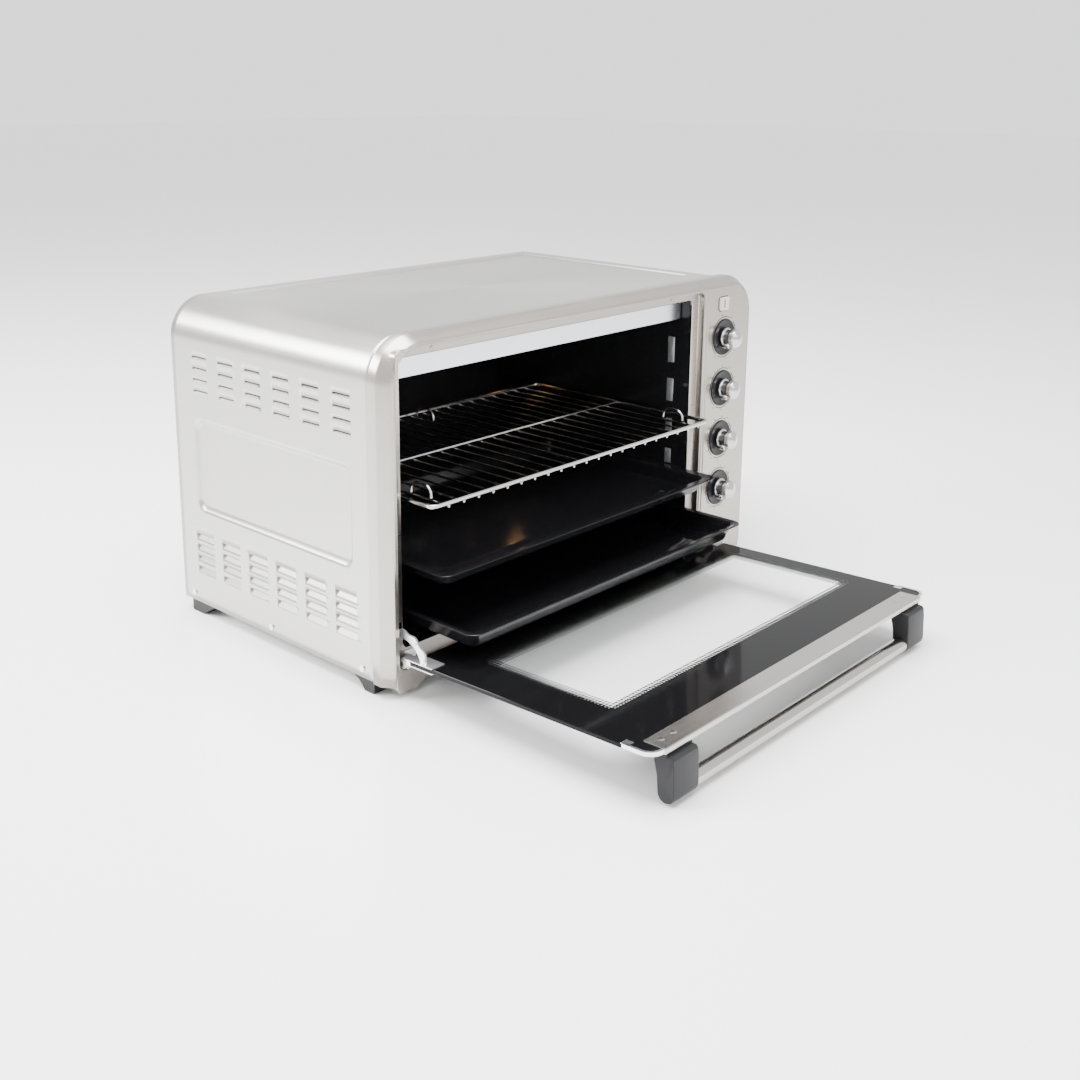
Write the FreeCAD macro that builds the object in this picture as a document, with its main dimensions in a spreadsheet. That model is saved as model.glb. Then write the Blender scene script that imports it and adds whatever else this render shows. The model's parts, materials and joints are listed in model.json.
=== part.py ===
import FreeCAD, Part
import math
import os
import Sketcher
from FreeCAD import Placement, Rotation, Vector

# A countertop toaster oven: the door is open, the rack and the two trays are drawn a little out.
# +X is to the right seen from the front, the front faces -Y, +Z is up, the feet stand on z = 0.

doc = FreeCAD.newDocument("ToasterOven")
sheet = doc.addObject("Spreadsheet::Sheet", "Sizes")

drivingSizes = [
    ("width", 640, "across the fascia"),
    ("topLevel", 378, "top of the fascia"),
    ("caseLow", 14, "underside of the casing"),
    ("faceY", -26.2, "front face of the fascia"),
    ("depth", 371, "front face to rear panel"),
    ("cornerR", 48, "fascia's upper corners"),
    ("lipDepth", 12, "straight lip behind the bevel"),
    ("bevelDepth", 13, "bevel, front to back"),
    ("bevelInset", 9, "bevel, seen from the front"),
    ("wrapInset", 3, "casing inside the fascia's outline"),
    ("sheetMetal", 1, "steel sheet"),
    ("doorX", -48, "middle of the door and the cavity"),
    ("doorWidth", 510, "door"),
    ("doorLength", 324.5, "hinge axis to the door's free edge"),
    ("recessWidth", 514, "door recess in the fascia"),
    ("recessLow", 30, "underside of the door recess"),
    ("recessTop", 364.5, "top of the door recess"),
    ("recessDepth", 9, "door recess"),
    ("cavityWidth", 488, "inside the liner"),
    ("cavityLow", 50, "liner's floor"),
    ("cavityTop", 355, "liner's ceiling"),
    ("cavityRear", 346, "liner's rear wall from the front face"),
    ("hingeZ", 38.5, "door hinge axis"),
    ("glassThick", 4.5, "door glass"),
    ("glassLift", 2.4, "hinge axis to the glass"),
    ("openTilt", 2, "degrees the open door rises"),
    ("pinR", 3, "hinge pin radius"),
    ("runClear", 0.05, "running clearance"),
    ("stayR", 33, "door stay's middle radius"),
    ("barR", 7, "handle bar radius"),
    ("barS", 322, "handle bar from the hinge axis"),
    ("barDrop", 38, "handle bar below the hinge axis"),
    ("knobX", 254, "column of knobs"),
    ("knobLowZ", 101, "lowest knob"),
    ("knobPitch", 67, "knob to knob"),
    ("bezelR", 23, "dark dished disc behind a knob"),
    ("capR", 15.5, "knob"),
    ("knobReach", 25, "knob in front of the fascia"),
    ("rodR", 2.5, "rack frame rod radius"),
    ("wireR", 1.5, "rack wire radius"),
    ("rackFront", -27, "rack's front rod from the front face"),
    ("rackZ", 208, "rack's frame"),
    ("rackDeep", 290, "rack, front to back"),
    ("shelfWidth", 474, "rack and trays"),
    ("bakeFront", -46, "baking tray's front edge"),
    ("bakeZ", 138, "baking tray's rim"),
    ("dripFront", -86, "drip tray's front edge"),
    ("dripZ", 87, "drip tray's rim"),
    ("trayDeep", 285, "trays, front to back"),
    ("elementR", 3.5, "heating rod radius"),
]
for line, (alias, value, note) in enumerate(drivingSizes, start=1):
    sheet.set(f"A{line}", alias)
    sheet.set(f"B{line}", str(value))
    sheet.set(f"C{line}", note)
    sheet.setAlias(f"B{line}", alias)
doc.recompute()


class Size:
    """A number that also keeps the sheet expression it comes from."""

    def __init__(self, value, text):
        self.value = value
        self.text = text

    def __add__(self, other):
        return joined(self, "+", other)

    def __radd__(self, other):
        return joined(other, "+", self)

    def __sub__(self, other):
        return joined(self, "-", other)

    def __rsub__(self, other):
        return joined(other, "-", self)

    def __mul__(self, other):
        return joined(self, "*", other)

    def __rmul__(self, other):
        return joined(other, "*", self)

    def __truediv__(self, other):
        return joined(self, "/", other)

    def __neg__(self):
        return joined(0, "-", self)


def asSize(number):
    if isinstance(number, Size):
        return number
    text = f"{abs(number):.6g}"
    return Size(float(number), text if number >= 0 else f"(0 - {text})")


def joined(first, sign, second):
    first = asSize(first)
    second = asSize(second)
    if sign == "+":
        value = first.value + second.value
    elif sign == "-":
        value = first.value - second.value
    elif sign == "*":
        value = first.value * second.value
    else:
        value = first.value / second.value
    return Size(value, f"({first.text} {sign} {second.text})")


names = {alias: Size(float(value), f"Sizes.{alias}") for alias, value, note in drivingSizes}
halfWidth = names["width"] / 2
topLevel = names["topLevel"]
caseLow = names["caseLow"]
faceY = names["faceY"]
rearY = faceY + names["depth"]
seamY = faceY + names["bevelDepth"] + names["lipDepth"]
metal = names["sheetMetal"]
wrapHalf = halfWidth - names["wrapInset"]
wrapTop = topLevel - names["wrapInset"]
wrapR = names["cornerR"] - names["wrapInset"]
doorX = names["doorX"]
doorHalf = names["doorWidth"] / 2
cavityHalf = names["cavityWidth"] / 2
ledgeY = faceY + names["recessDepth"]
linerFront = ledgeY + metal
linerRear = faceY + names["cavityRear"]
hingeZ = names["hingeZ"]
glassLow = names["glassLift"]
glassHigh = glassLow + names["glassThick"]
shelfHalf = names["shelfWidth"] / 2
knobZ = [names["knobLowZ"] + names["knobPitch"] * place for place in range(4)]

pieces = {}


def bind(thing, path, size):
    size = asSize(size)
    setattr(thing, path, size.value)
    if "Sizes." in size.text:
        thing.setExpression(path, size.text)


def place(thing, x, y, z, turn=None):
    x, y, z = asSize(x), asSize(y), asSize(z)
    thing.Placement = Placement(Vector(x.value, y.value, z.value), turn or Rotation())
    for axis, size in (("x", x), ("y", y), ("z", z)):
        if "Sizes." in size.text:
            thing.setExpression(f"Placement.Base.{axis}", size.text)


def keep(name, thing):
    thing.Label = name
    pieces[name] = thing
    return thing


def box(x0, x1, y0, y1, z0, z1, name="block"):
    block = doc.addObject("Part::Box", name)
    bind(block, "Length", x1 - x0)
    bind(block, "Width", y1 - y0)
    bind(block, "Height", z1 - z0)
    place(block, x0, y0, z0)
    return block


turns = {
    "x": Rotation(Vector(0, 1, 0), 90),
    "y": Rotation(Vector(1, 0, 0), -90),
    "z": Rotation(),
    "-x": Rotation(Vector(0, 1, 0), -90),
    "-y": Rotation(Vector(1, 0, 0), 90),
}


def rod(x, y, z, axis, length, radius, name="rod"):
    bar = doc.addObject("Part::Cylinder", name)
    bind(bar, "Radius", radius)
    bind(bar, "Height", length)
    place(bar, x, y, z, turns[axis])
    return bar


def fused(parts, name="joined"):
    whole = doc.addObject("Part::MultiFuse", name)
    whole.Shapes = parts
    whole.Refine = True
    return whole


def grouped(parts, name="group"):
    whole = doc.addObject("Part::Compound", name)
    whole.Links = parts
    return whole


def cut(base, tool, name="trimmed"):
    rest = doc.addObject("Part::Cut", name)
    rest.Base = base
    rest.Tool = tool
    return rest


def newBody(name):
    return doc.addObject("PartDesign::Body", name)


def distance(rules, kind, line, point, size):
    """Ties one coordinate of a line's end to the sheet; a zero lies on the sketch's own axis."""
    size = asSize(size)
    if abs(size.value) < 1e-9:
        axis = -2 if kind == "DistanceX" else -1
        rules.append((Sketcher.Constraint("PointOnObject", line, point, axis), ""))
        return
    rules.append((Sketcher.Constraint(kind, -1, 1, line, point, size.value), size.text))


def outline(sketch, corners):
    """A closed outline of (x, y) or (x, y, radius) corners; rounded ones join level and upright lines."""
    count = len(corners)
    spots = [Vector(asSize(c[0]).value, asSize(c[1]).value, 0) for c in corners]
    radii = [asSize(c[2]) if len(c) > 2 else None for c in corners]
    ends = []
    for k in range(count):
        before = spots[k - 1] - spots[k]
        after = spots[(k + 1) % count] - spots[k]
        reach = radii[k].value if radii[k] else 0.0
        ends.append((spots[k] + before.normalize() * reach, spots[k] + after.normalize() * reach))
    first = len(sketch.Geometry)
    lines = [first + k for k in range(count)]
    curves = [Part.LineSegment(ends[k][1], ends[(k + 1) % count][0]) for k in range(count)]
    rules = []
    kinds = []
    for k in range(count):
        run = spots[(k + 1) % count] - spots[k]
        if abs(run.y) < 1e-7:
            kinds.append("level")
            rules.append((Sketcher.Constraint("Horizontal", lines[k]), ""))
            distance(rules, "DistanceY", lines[k], 1, corners[k][1])
        elif abs(run.x) < 1e-7:
            kinds.append("upright")
            rules.append((Sketcher.Constraint("Vertical", lines[k]), ""))
            distance(rules, "DistanceX", lines[k], 1, corners[k][0])
        else:
            kinds.append("sloped")
    for k in range(count):
        near, far = lines[k - 1], lines[k]
        if radii[k]:
            start, stop = ends[k]
            middle = start + (stop - spots[k])
            leftTurn = (spots[k] - start).cross(stop - spots[k]).z > 0
            opening = math.atan2(start.y - middle.y, start.x - middle.x)
            closing = math.atan2(stop.y - middle.y, stop.x - middle.x)
            circle = Part.Circle(middle, Vector(0, 0, 1), radii[k].value)
            arc = first + len(curves)
            if leftTurn:
                curves.append(Part.ArcOfCircle(circle, opening, closing))
            else:
                curves.append(Part.ArcOfCircle(circle, closing, opening))
            rules.append((Sketcher.Constraint("Tangent", near, 2, arc, 1 if leftTurn else 2), ""))
            rules.append((Sketcher.Constraint("Tangent", far, 1, arc, 2 if leftTurn else 1), ""))
            rules.append((Sketcher.Constraint("Radius", arc, radii[k].value), radii[k].text))
            continue
        rules.append((Sketcher.Constraint("Coincident", near, 2, far, 1), ""))
        pair = {kinds[k - 1], kinds[k]}
        if "upright" not in pair:
            distance(rules, "DistanceX", far, 1, corners[k][0])
        if "level" not in pair:
            distance(rules, "DistanceY", far, 1, corners[k][1])
    sketch.addGeometry(curves, False)
    numbers = sketch.addConstraint([rule for rule, text in rules])
    for number, (rule, text) in zip(numbers, rules):
        if "Sizes." in text:
            sketch.setExpression(f"Constraints[{number}]", text)


def rounded(x0, x1, y0, y1, radius):
    return [(x0, y0, radius), (x1, y0, radius), (x1, y1, radius), (x0, y1, radius)]


def square(x0, x1, y0, y1):
    return [(x0, y0), (x1, y0), (x1, y1), (x0, y1)]


# A plane, and the sign of its normal along the object's axis
planes = {"x": ("YZ_Plane", 1), "y": ("XZ_Plane", -1), "z": ("XY_Plane", 1)}


def sketchOn(body, axis, level, outlines):
    role, sign = planes[axis]
    plane = [feature for feature in body.Origin.OriginFeatures if feature.Role == role][0]
    sketch = body.newObject("Sketcher::SketchObject", body.Name + "Sketch")
    sketch.AttachmentSupport = (plane, [""])
    sketch.MapMode = "FlatFace"
    offset = asSize(level) * sign
    sketch.AttachmentOffset = Placement(Vector(0, 0, offset.value), Rotation())
    if "Sizes." in offset.text:
        sketch.setExpression("AttachmentOffset.Base.z", offset.text)
    for corners in outlines:
        outline(sketch, corners)
    return sketch


def slab(body, axis, low, high, outlines):
    """Material between two levels along an axis."""
    start = high if axis == "y" else low
    feature = body.newObject("PartDesign::Pad", body.Name + "Pad")
    feature.Profile = sketchOn(body, axis, start, outlines)
    bind(feature, "Length", high - low)
    return feature


def hollow(body, axis, low, high, outlines):
    """Removes material between two levels along an axis."""
    start = low if axis == "y" else high
    feature = body.newObject("PartDesign::Pocket", body.Name + "Pocket")
    feature.Profile = sketchOn(body, axis, start, outlines)
    bind(feature, "Length", high - low)
    return feature


def loft(body, kind, axis, sections):
    """A ruled body between (level, outline) sections; kind is Additive or Subtractive."""
    sketches = [sketchOn(body, axis, level, [corners]) for level, corners in sections]
    feature = body.newObject(f"PartDesign::{kind}Loft", body.Name + "Loft")
    feature.Profile = sketches[0]
    feature.Sections = sketches[1:]
    feature.Ruled = True
    return feature


def turned(name, profile, x, y, z, turn):
    """A piece turned on its own Z axis from (radius, height) corners."""
    body = newBody(name)
    feature = body.newObject("PartDesign::Revolution", name + "Turn")
    feature.Profile = sketchOn(body, "y", 0, [profile])
    feature.ReferenceAxis = (feature.Profile[0], ["V_Axis"])
    feature.Angle = 360
    place(body, x, y, z, turn)
    return body


# Casing: one folded sheet with pressed side panels, a pressed top and four blocks of louvres

sidePanel = (faceY + 56, faceY + 334, 130, 241)
panelDepth = 4
panelSlope = 5
upperLouvres = {"y": 303, "long": 28, "pitchY": -49.7, "z": 310.5, "tall": 4, "pitchZ": -13.1, "deep": 4}
lowerLouvres = {"y": 305, "long": 35, "pitchY": -50.7, "z": 92, "tall": 9, "pitchZ": -13.5, "deep": 5}
louvreColumns = 6
louvreRows = 4


def casingWrap():
    body = newBody("casing_wrap_sheet")
    inner = wrapHalf - metal
    innerR = wrapR - metal
    slab(body, "y", seamY, rearY, [[
        (-wrapHalf, caseLow), (-wrapHalf, wrapTop, wrapR), (wrapHalf, wrapTop, wrapR), (wrapHalf, caseLow),
        (inner, caseLow), (inner, wrapTop - metal, innerR), (-inner, wrapTop - metal, innerR),
        (-inner, caseLow)]])
    y0, y1, z0, z1 = sidePanel
    grow = 1.2
    wideR, tightR = 14, 9
    for sign in (-1, 1):
        wide = rounded(y0 - grow, y1 + grow, z0 - grow, z1 + grow, wideR + grow)
        tight = rounded(y0 + panelSlope - grow, y1 - panelSlope + grow,
                        z0 + panelSlope - grow, z1 - panelSlope + grow, tightR + grow)
        loft(body, "Additive", "x", [(wrapHalf * sign - metal * sign, wide),
                                     (wrapHalf * sign - (panelDepth + metal) * sign, tight)])
    for sign in (-1, 1):
        loft(body, "Subtractive", "x", [
            (wrapHalf * sign, rounded(y0, y1, z0, z1, wideR)),
            (wrapHalf * sign - panelDepth * sign,
             rounded(y0 + panelSlope, y1 - panelSlope, z0 + panelSlope, z1 - panelSlope, tightR))])
    return body


def louvreWedges(grow):
    """Every louvre's scoop: a wedge that is flush at its lower edge and deep at its upper edge."""
    wedges = []
    for block in (upperLouvres, lowerLouvres):
        for sign in (-1, 1):
            for column in range(louvreColumns):
                for row in range(louvreRows):
                    y = faceY.value + block["y"] + block["pitchY"] * column - grow
                    low = block["z"] + block["pitchZ"] * row
                    high = low + block["tall"]
                    outside = wrapHalf.value * sign
                    beyond = outside + sign * 0.5
                    deep = outside - sign * block["deep"]
                    if grow:
                        inside = outside - sign * metal.value * 0.5
                        corners = [(inside, low - grow), (inside, high), (deep - sign * grow, high)]
                    else:
                        corners = [(beyond, low), (beyond, high), (deep, high), (outside, low)]
                    ring = [Vector(cx, y, cz) for cx, cz in corners]
                    face = Part.Face(Part.makePolygon(ring + ring[:1]))
                    wedges.append(face.extrude(Vector(0, block["long"] + 2 * grow, 0)))
    return Part.makeCompound(wedges)


def casing():
    cupWall = 0.8
    cups = doc.addObject("Part::Feature", "louvreCups")
    cups.Shape = louvreWedges(cupWall)
    mouths = doc.addObject("Part::Feature", "louvreMouths")
    mouths.Shape = louvreWedges(0)
    whole = fused([casingWrap(), cups], "casingWithCups")
    whole.Refine = False
    keep("casing_wrap", cut(whole, mouths, "casingWrap"))


# Fascia: a drawn frame with a bevelled outline, the door recess, the oven's mouth and two short legs


def fascia():
    body = newBody("front_fascia")
    inset = names["bevelInset"]
    innerR = names["cornerR"] - inset
    lipFront = faceY + names["bevelDepth"]
    wall = 1.2
    recessR = 8
    mouthR = 6
    legFoot = 6
    legThick = 14
    legToe, legHeel, legRoot = halfWidth - 12, 282, 266
    boreHalf = 4

    def frameOutline(x, high, radius, low):
        return [(-x, low), (-x, high, radius), (x, high, radius), (x, low)]

    slab(body, "y", lipFront, seamY, [frameOutline(halfWidth, topLevel, names["cornerR"], caseLow)])
    loft(body, "Additive", "y", [
        (lipFront, frameOutline(halfWidth, topLevel, names["cornerR"], caseLow)),
        (faceY, frameOutline(halfWidth - inset, topLevel - inset, innerR, caseLow))])
    hollow(body, "y", lipFront + wall, seamY + wall,
           [frameOutline(halfWidth - wall, topLevel - wall, names["cornerR"] - wall, caseLow - wall)])
    loft(body, "Subtractive", "y", [
        (lipFront + wall, frameOutline(halfWidth - wall, topLevel - wall, names["cornerR"] - wall,
                                       caseLow - wall)),
        (faceY + wall, frameOutline(halfWidth - inset - wall, topLevel - inset - wall, innerR - wall,
                                    caseLow - wall))])
    recessHalf = names["recessWidth"] / 2
    low, high = names["recessLow"], names["recessTop"]
    slab(body, "y", faceY + wall, linerFront,
         [rounded(doorX - recessHalf - wall, doorX + recessHalf + wall, low - wall, high + wall,
                  recessR + 1)])
    hollow(body, "y", faceY - 1, ledgeY,
           [rounded(doorX - recessHalf, doorX + recessHalf, low, high, recessR)])
    hollow(body, "y", faceY, linerFront + 1,
           [rounded(doorX - cavityHalf, doorX + cavityHalf, names["cavityLow"], names["cavityTop"],
                   mouthR)])
    for sign in (-1, 1):
        slab(body, "y", faceY, faceY + legThick, [[
            (legToe * sign, caseLow), (legToe * sign, legFoot), (legHeel * sign, legFoot),
            (legRoot * sign, caseLow)]])
    bores = []
    for z in knobZ:
        bores.append(square(names["knobX"] - boreHalf, names["knobX"] + boreHalf, z - boreHalf,
                            z + boreHalf))
    hollow(body, "y", faceY - 1, faceY + 3, bores)
    slotX, slotHalf, slotLow, slotHigh = 251.5, 2.5, 65, 78
    slots = [square(doorX + side * slotX - slotHalf, doorX + side * slotX + slotHalf, slotLow, slotHigh)
             for side in (-1, 1)]
    hollow(body, "y", ledgeY - 1, linerFront + 1, slots)
    keep("front_fascia", body)


def panels():
    rear = newBody("rear_plate")
    slab(rear, "y", rearY - metal, rearY, [
        [(-wrapHalf + metal, caseLow), (-wrapHalf + metal, wrapTop - metal, wrapR - metal),
         (wrapHalf - metal, wrapTop - metal, wrapR - metal), (wrapHalf - metal, caseLow)],
        rounded(247, 263, 52, 68, 7.9)])
    vents = [box(x, x + 24, rearY - 2, rearY + 1, z, z + 4)
             for x in range(-200, 124, 36) for z in range(252, 301, 12)]
    keep("rear_panel", cut(rear, grouped(vents, "rearVents"), "rearPanel"))
    base = newBody("base_plate")
    slab(base, "z", caseLow, caseLow + metal, [square(-wrapHalf + metal, wrapHalf - metal, seamY,
                                                      rearY - metal)])
    gaps = [box(x, x + 30, y, y + 6, caseLow - 1, caseLow + 2)
            for x in range(-200, 196, 44) for y in range(80, 231, 30)]
    keep("base_panel", cut(base, grouped(gaps, "baseVents"), "basePanel"))


# Cavity: an enamelled box open at the front, with rails, reflector, heating rods and a lamp


def cavity():
    left, right = doorX - cavityHalf, doorX + cavityHalf
    low, high = names["cavityLow"], names["cavityTop"]
    liner = newBody("cavity_liner")
    slab(liner, "y", linerFront, linerRear, [
        square(left - metal, right + metal, low - metal, high + metal)])
    hollow(liner, "y", linerFront - 1, linerRear - metal, [square(left, right, low, high)])
    gap = 2
    sheetThin = 0.8
    front = faceY + 26
    plate = box(left + gap, right - gap, front, front + 274, high - 3, high - 3 + sheetThin)
    lip = box(left + gap, right - gap, front, front + sheetThin, high - 25, high - 3)
    keep("ceiling_reflector", fused([plate, lip], "ceilingReflector"))
    railDeep = 12
    railThick = 1.5
    sleeveR = 6.5
    holes = []
    railLevels = [(names["rackZ"], names["rodR"] + 0.3), (names["bakeZ"], 0.3), (names["dripZ"], 0.3)]
    for side, name in ((-1, "left"), (1, "right")):
        wall = doorX + cavityHalf * side
        span = (faceY + 22, faceY + 336)
        strips = []
        near, far = (wall, wall + metal) if side < 0 else (wall - metal, wall)
        strips.append(box(near, far, span[0], span[1], 74, 232))
        near, far = (wall, wall + railDeep) if side < 0 else (wall - railDeep, wall)
        for level, drop in railLevels:
            top = level - drop
            strips.append(box(near, far, span[0], span[1], top - railThick, top))
        keep(f"shelf_rails_{name}", fused(strips, f"shelfRails{name.title()}"))
    for name, z, places in (("upper_heating_rods", 338, (90, 240)), ("lower_heating_rods", 59, (60, 230))):
        rods = [rod(left - 14, faceY + y, z, "x", names["cavityWidth"] + 28, names["elementR"]) for y in places]
        holes += [rod(left - 20, faceY + y, z, "x", names["cavityWidth"] + 40, sleeveR) for y in places]
        keep(name, grouped(rods, name + "Pair"))
        ends = []
        for y in places:
            for x, way in ((left + 3, "-x"), (right - 3, "x")):
                sleeve = rod(x, faceY + y, z, way, 14, sleeveR)
                bore = rod(x, faceY + y, z, way, 14, names["elementR"])
                ends.append(cut(sleeve, bore, name + "Sleeve"))
        keep(name.replace("rods", "insulators"), grouped(ends, name + "Ends"))
    keep("cavity_liner", cut(liner, grouped(holes), "linerBored"))
    lampY, lampZ = faceY + 300, 290
    keep("lamp_holder", rod(right + metal, lampY, lampZ, "x", 30, 17))
    glassLine = [(0, 0), (16, 0), (16, 3), (13, 12), (8, 18), (0, 20), (0, 17), (7, 15), (11, 10.5),
                 (13.5, 2), (0, 2)]
    bulbLine = [(0, 2.2), (5, 2.2), (8, 6), (8, 9), (5, 13), (0, 14.5)]
    keep("lamp_cover", turned("lamp_cover", glassLine, right, lampY, lampZ, turns["-x"]))
    keep("lamp_bulb", turned("lamp_bulb", bulbLine, right, lampY, lampZ, turns["-x"]))


# Feet: moulded blocks with a slanted or hollowed inner side


def feet():
    wide = 26
    for side, sideName in ((-1, "left"), (1, "right")):
        x0 = -wrapHalf if side < 0 else wrapHalf - wide
        for end, corners in (
                ("front", [(faceY + 27, caseLow), (faceY + 27, 1), (faceY + 30, 0), (faceY + 42, 0),
                           (faceY + 46, 5), (faceY + 52, 10), (faceY + 60, caseLow)]),
                ("rear", [(faceY + 356, caseLow), (faceY + 356, 1), (faceY + 354, 0), (faceY + 334, 0),
                          (faceY + 330, 3), (faceY + 311, caseLow)])):
            name = f"foot_{end}_{sideName}"
            body = newBody(name)
            slab(body, "x", x0, x0 + wide, [corners])
            keep(name, body)


# Controls: four switches behind the panel, their spindles, bezels and knobs


def controls():
    frontWall = 1.2
    shaftR = 3
    x = names["knobX"]
    bezelR, capR = names["bezelR"], names["capR"]
    dish = [(shaftR + 1.2, 0), (bezelR, 0), (bezelR, 1.2), (bezelR - 3, 1.8), (bezelR - 6, 0.9),
            (shaftR + 1.2, 0.9)]
    skirt = [(shaftR + 0.02, 2.2), (13, 2.2), (13.6, 4), (14.2, 11), (capR, 12.5), (capR, 20),
             (capR - 1.3, 22.5), (capR - 3, 23.3), (0, names["knobReach"]), (0, 17.3),
             (shaftR + 0.02, 17.3)]
    kinds = ("upper_thermostat", "function_switch", "lower_thermostat", "timer")
    for kind, z in zip(kinds, reversed(knobZ)):
        case = box(x - 20, x + 20, faceY + 12, faceY + 50, z - 20, z + 20)
        neck = rod(x, faceY + frontWall + 0.3, z, "y", 11.7, 6)
        bore = rod(x, faceY, z, "y", 30, shaftR + names["runClear"])
        keep(f"{kind}_body", cut(fused([case, neck]), bore, "switchBody"))
        shaft = [(0, 0), (shaftR, 0), (shaftR, 42), (0, 42)]
        keep(f"{kind}_spindle", turned(f"{kind}_spindle", shaft, x, faceY + 25, z, turns["-y"]))
        keep(f"{kind}_bezel", turned(f"{kind}_bezel", dish, x, faceY, z, turns["-y"]))
        knob = turned(f"{kind}_knob_turned", skirt, x, faceY, z, turns["-y"])
        grip = box(x - 2.6, x + 2.6, faceY - 24, faceY - 12.5, z - 18.5, z - 13)
        keep(f"{kind}_knob", fused([knob, grip], "knobWithGrip"))


def pilotLamp():
    body = newBody("pilot_lamp")
    slab(body, "y", faceY - 2, faceY, [rounded(241, 260, 337, 354, 3)])
    keep("pilot_lamp", body)


# Door: drawn level, as if fully open; every piece then takes the door's tilt about the hinge axis


def onDoor(thing):
    tilt = Rotation(Vector(1, 0, 0), -names["openTilt"].value)
    thing.Placement = Placement(Vector(0, faceY.value, hingeZ.value), tilt)
    thing.setExpression("Placement.Base.y", faceY.text)
    thing.setExpression("Placement.Base.z", hingeZ.text)
    return thing


def doorPanel():
    glass = newBody("door_glass")
    slab(glass, "z", glassLow, glassHigh,
         [rounded(doorX - doorHalf, doorX + doorHalf, -names["doorLength"] + 1.5, -14, 10)])
    keep("door_glass", onDoor(glass))
    edge = -names["doorLength"]
    trimBack = edge + 25
    skin = 0.7
    clip = 19
    left, right = doorX - doorHalf, doorX + doorHalf

    def wrapOver(x0, x1, back, name):
        top = box(x0, x1, edge + 0.2, back, glassHigh, glassHigh + skin)
        under = box(x0, x1, edge + 0.2, edge + 12, glassLow - skin, glassLow)
        nose = box(x0, x1, edge + 0.2, edge + 1.5, glassLow, glassHigh)
        keep(name, onDoor(fused([top, under, nose], name + "Folded")))

    wrapOver(left + clip, right - clip, trimBack, "door_trim")
    for name, x0, x1 in (("left", left + 2, left + clip), ("right", right - clip, right - 2)):
        corner = newBody(f"door_corner_clip_{name}")
        slab(corner, "z", glassHigh, glassHigh + skin, [square(x0, x1, edge + 10, trimBack)])
        keep(f"door_corner_clip_{name}", onDoor(corner))


def hinges():
    left, right = doorX - doorHalf, doorX + doorHalf
    skin = 1
    channelRear, channelFront = -8, -46
    lugTop = 0
    earR = 6
    stayHalf = 3
    for side, name, edge in ((-1, "left", left), (1, "right", right)):

        def across(near, far):
            return (edge + near, edge + far) if side < 0 else (edge - far, edge - near)

        x0, x1 = across(-0.8, 17)
        top = box(x0, x1, channelFront, channelRear, glassHigh, glassHigh + skin)
        under = box(x0, x1, channelFront, channelRear, glassLow - skin, glassLow)
        back = box(x0, x1, channelRear - 6, channelRear, glassLow, glassHigh)
        x0, x1 = across(1, 11)
        lug = box(x0, x1, channelRear - 1, lugTop, -3, glassHigh)
        eye = rod(x0, 0, 0, "x", 10, 5.5)
        bore = rod(x0 - 1, 0, 0, "x", 12, names["pinR"] + names["runClear"])
        channel = cut(fused([top, under, back, lug, eye]), bore, "hingeChannel")
        keep(f"door_hinge_channel_{name}", onDoor(channel))

        x0, x1 = across(2.5, 4.5)
        stay = newBody(f"door_stay_{name}")
        radius = names["stayR"].value
        inner, outer = radius - stayHalf, radius + stayHalf
        first, last, steps = 15, 96, 12
        angles = [math.radians(first + (last - first) * k / steps) for k in range(steps + 1)]
        ring = [(-outer * math.cos(a), outer * math.sin(a)) for a in angles]
        ring += [(-inner * math.cos(a), inner * math.sin(a)) for a in reversed(angles)]
        slab(stay, "x", x0, x1, [ring])
        keep(f"door_stay_{name}", onDoor(stay))

        x0, x1 = across(0.5, 15)
        pin = rod(x0, faceY, hingeZ, "x", 14.5, names["pinR"])
        keep(f"hinge_pin_{name}", pin)
        x0, x1 = across(11.5, 14)
        ear = box(x0, x1, faceY, ledgeY, hingeZ - earR, hingeZ + earR)
        tip = rod(x0, faceY, hingeZ, "x", 2.5, earR)
        x2, x3 = across(11.5, 27)
        foot = box(x2, x3, ledgeY - 1.2, ledgeY, hingeZ - 8, hingeZ + 8)
        hole = rod(x0 - 1, faceY, hingeZ, "x", 4.5, names["pinR"])
        keep(f"hinge_bracket_{name}", cut(fused([ear, tip, foot]), hole, "hingeBracket"))


def handle():
    reach, drop = names["barS"], names["barDrop"]
    wide = 38
    inset = 19
    endR = 9.5
    x0Left = doorX - doorHalf + inset
    x1Right = doorX + doorHalf - inset
    front, back = -reach - endR, -reach + endR
    top = glassLow - 0.7
    free = -names["doorLength"] + 0.3
    clearOfFace = -0.8
    steps = 10
    turning = [math.pi + math.pi * k / steps for k in range(steps + 1)]
    arc = [(-reach + endR * math.cos(angle), -drop + endR * math.sin(angle)) for angle in turning]
    for name, x0 in (("left", x0Left), ("right", x1Right - wide)):
        body = newBody(f"handle_bracket_{name}")
        slab(body, "x", x0, x0 + wide, [arc + [(back, -22), (back + 10, -8), (back + 10, top), (free, top),
                                               (free, clearOfFace), (front, clearOfFace)]])
        keep(f"handle_bracket_{name}", onDoor(body))
    bar = rod(x0Left + wide, -reach, -drop, "x", x1Right - x0Left - 2 * wide, names["barR"])
    keep("handle_bar", onDoor(grouped([bar], "handleTube")))
    screws = []
    for x0 in (x0Left, x1Right - wide):
        for step in (10, 28):
            screws.append(rod(x0 + step, -reach + 12, glassHigh + 0.7, "z", 1.2, 3.4))
    keep("handle_screws", onDoor(grouped(screws)))


# Shelves: the wire rack and the two trays, each drawn a little out of the cavity


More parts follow.
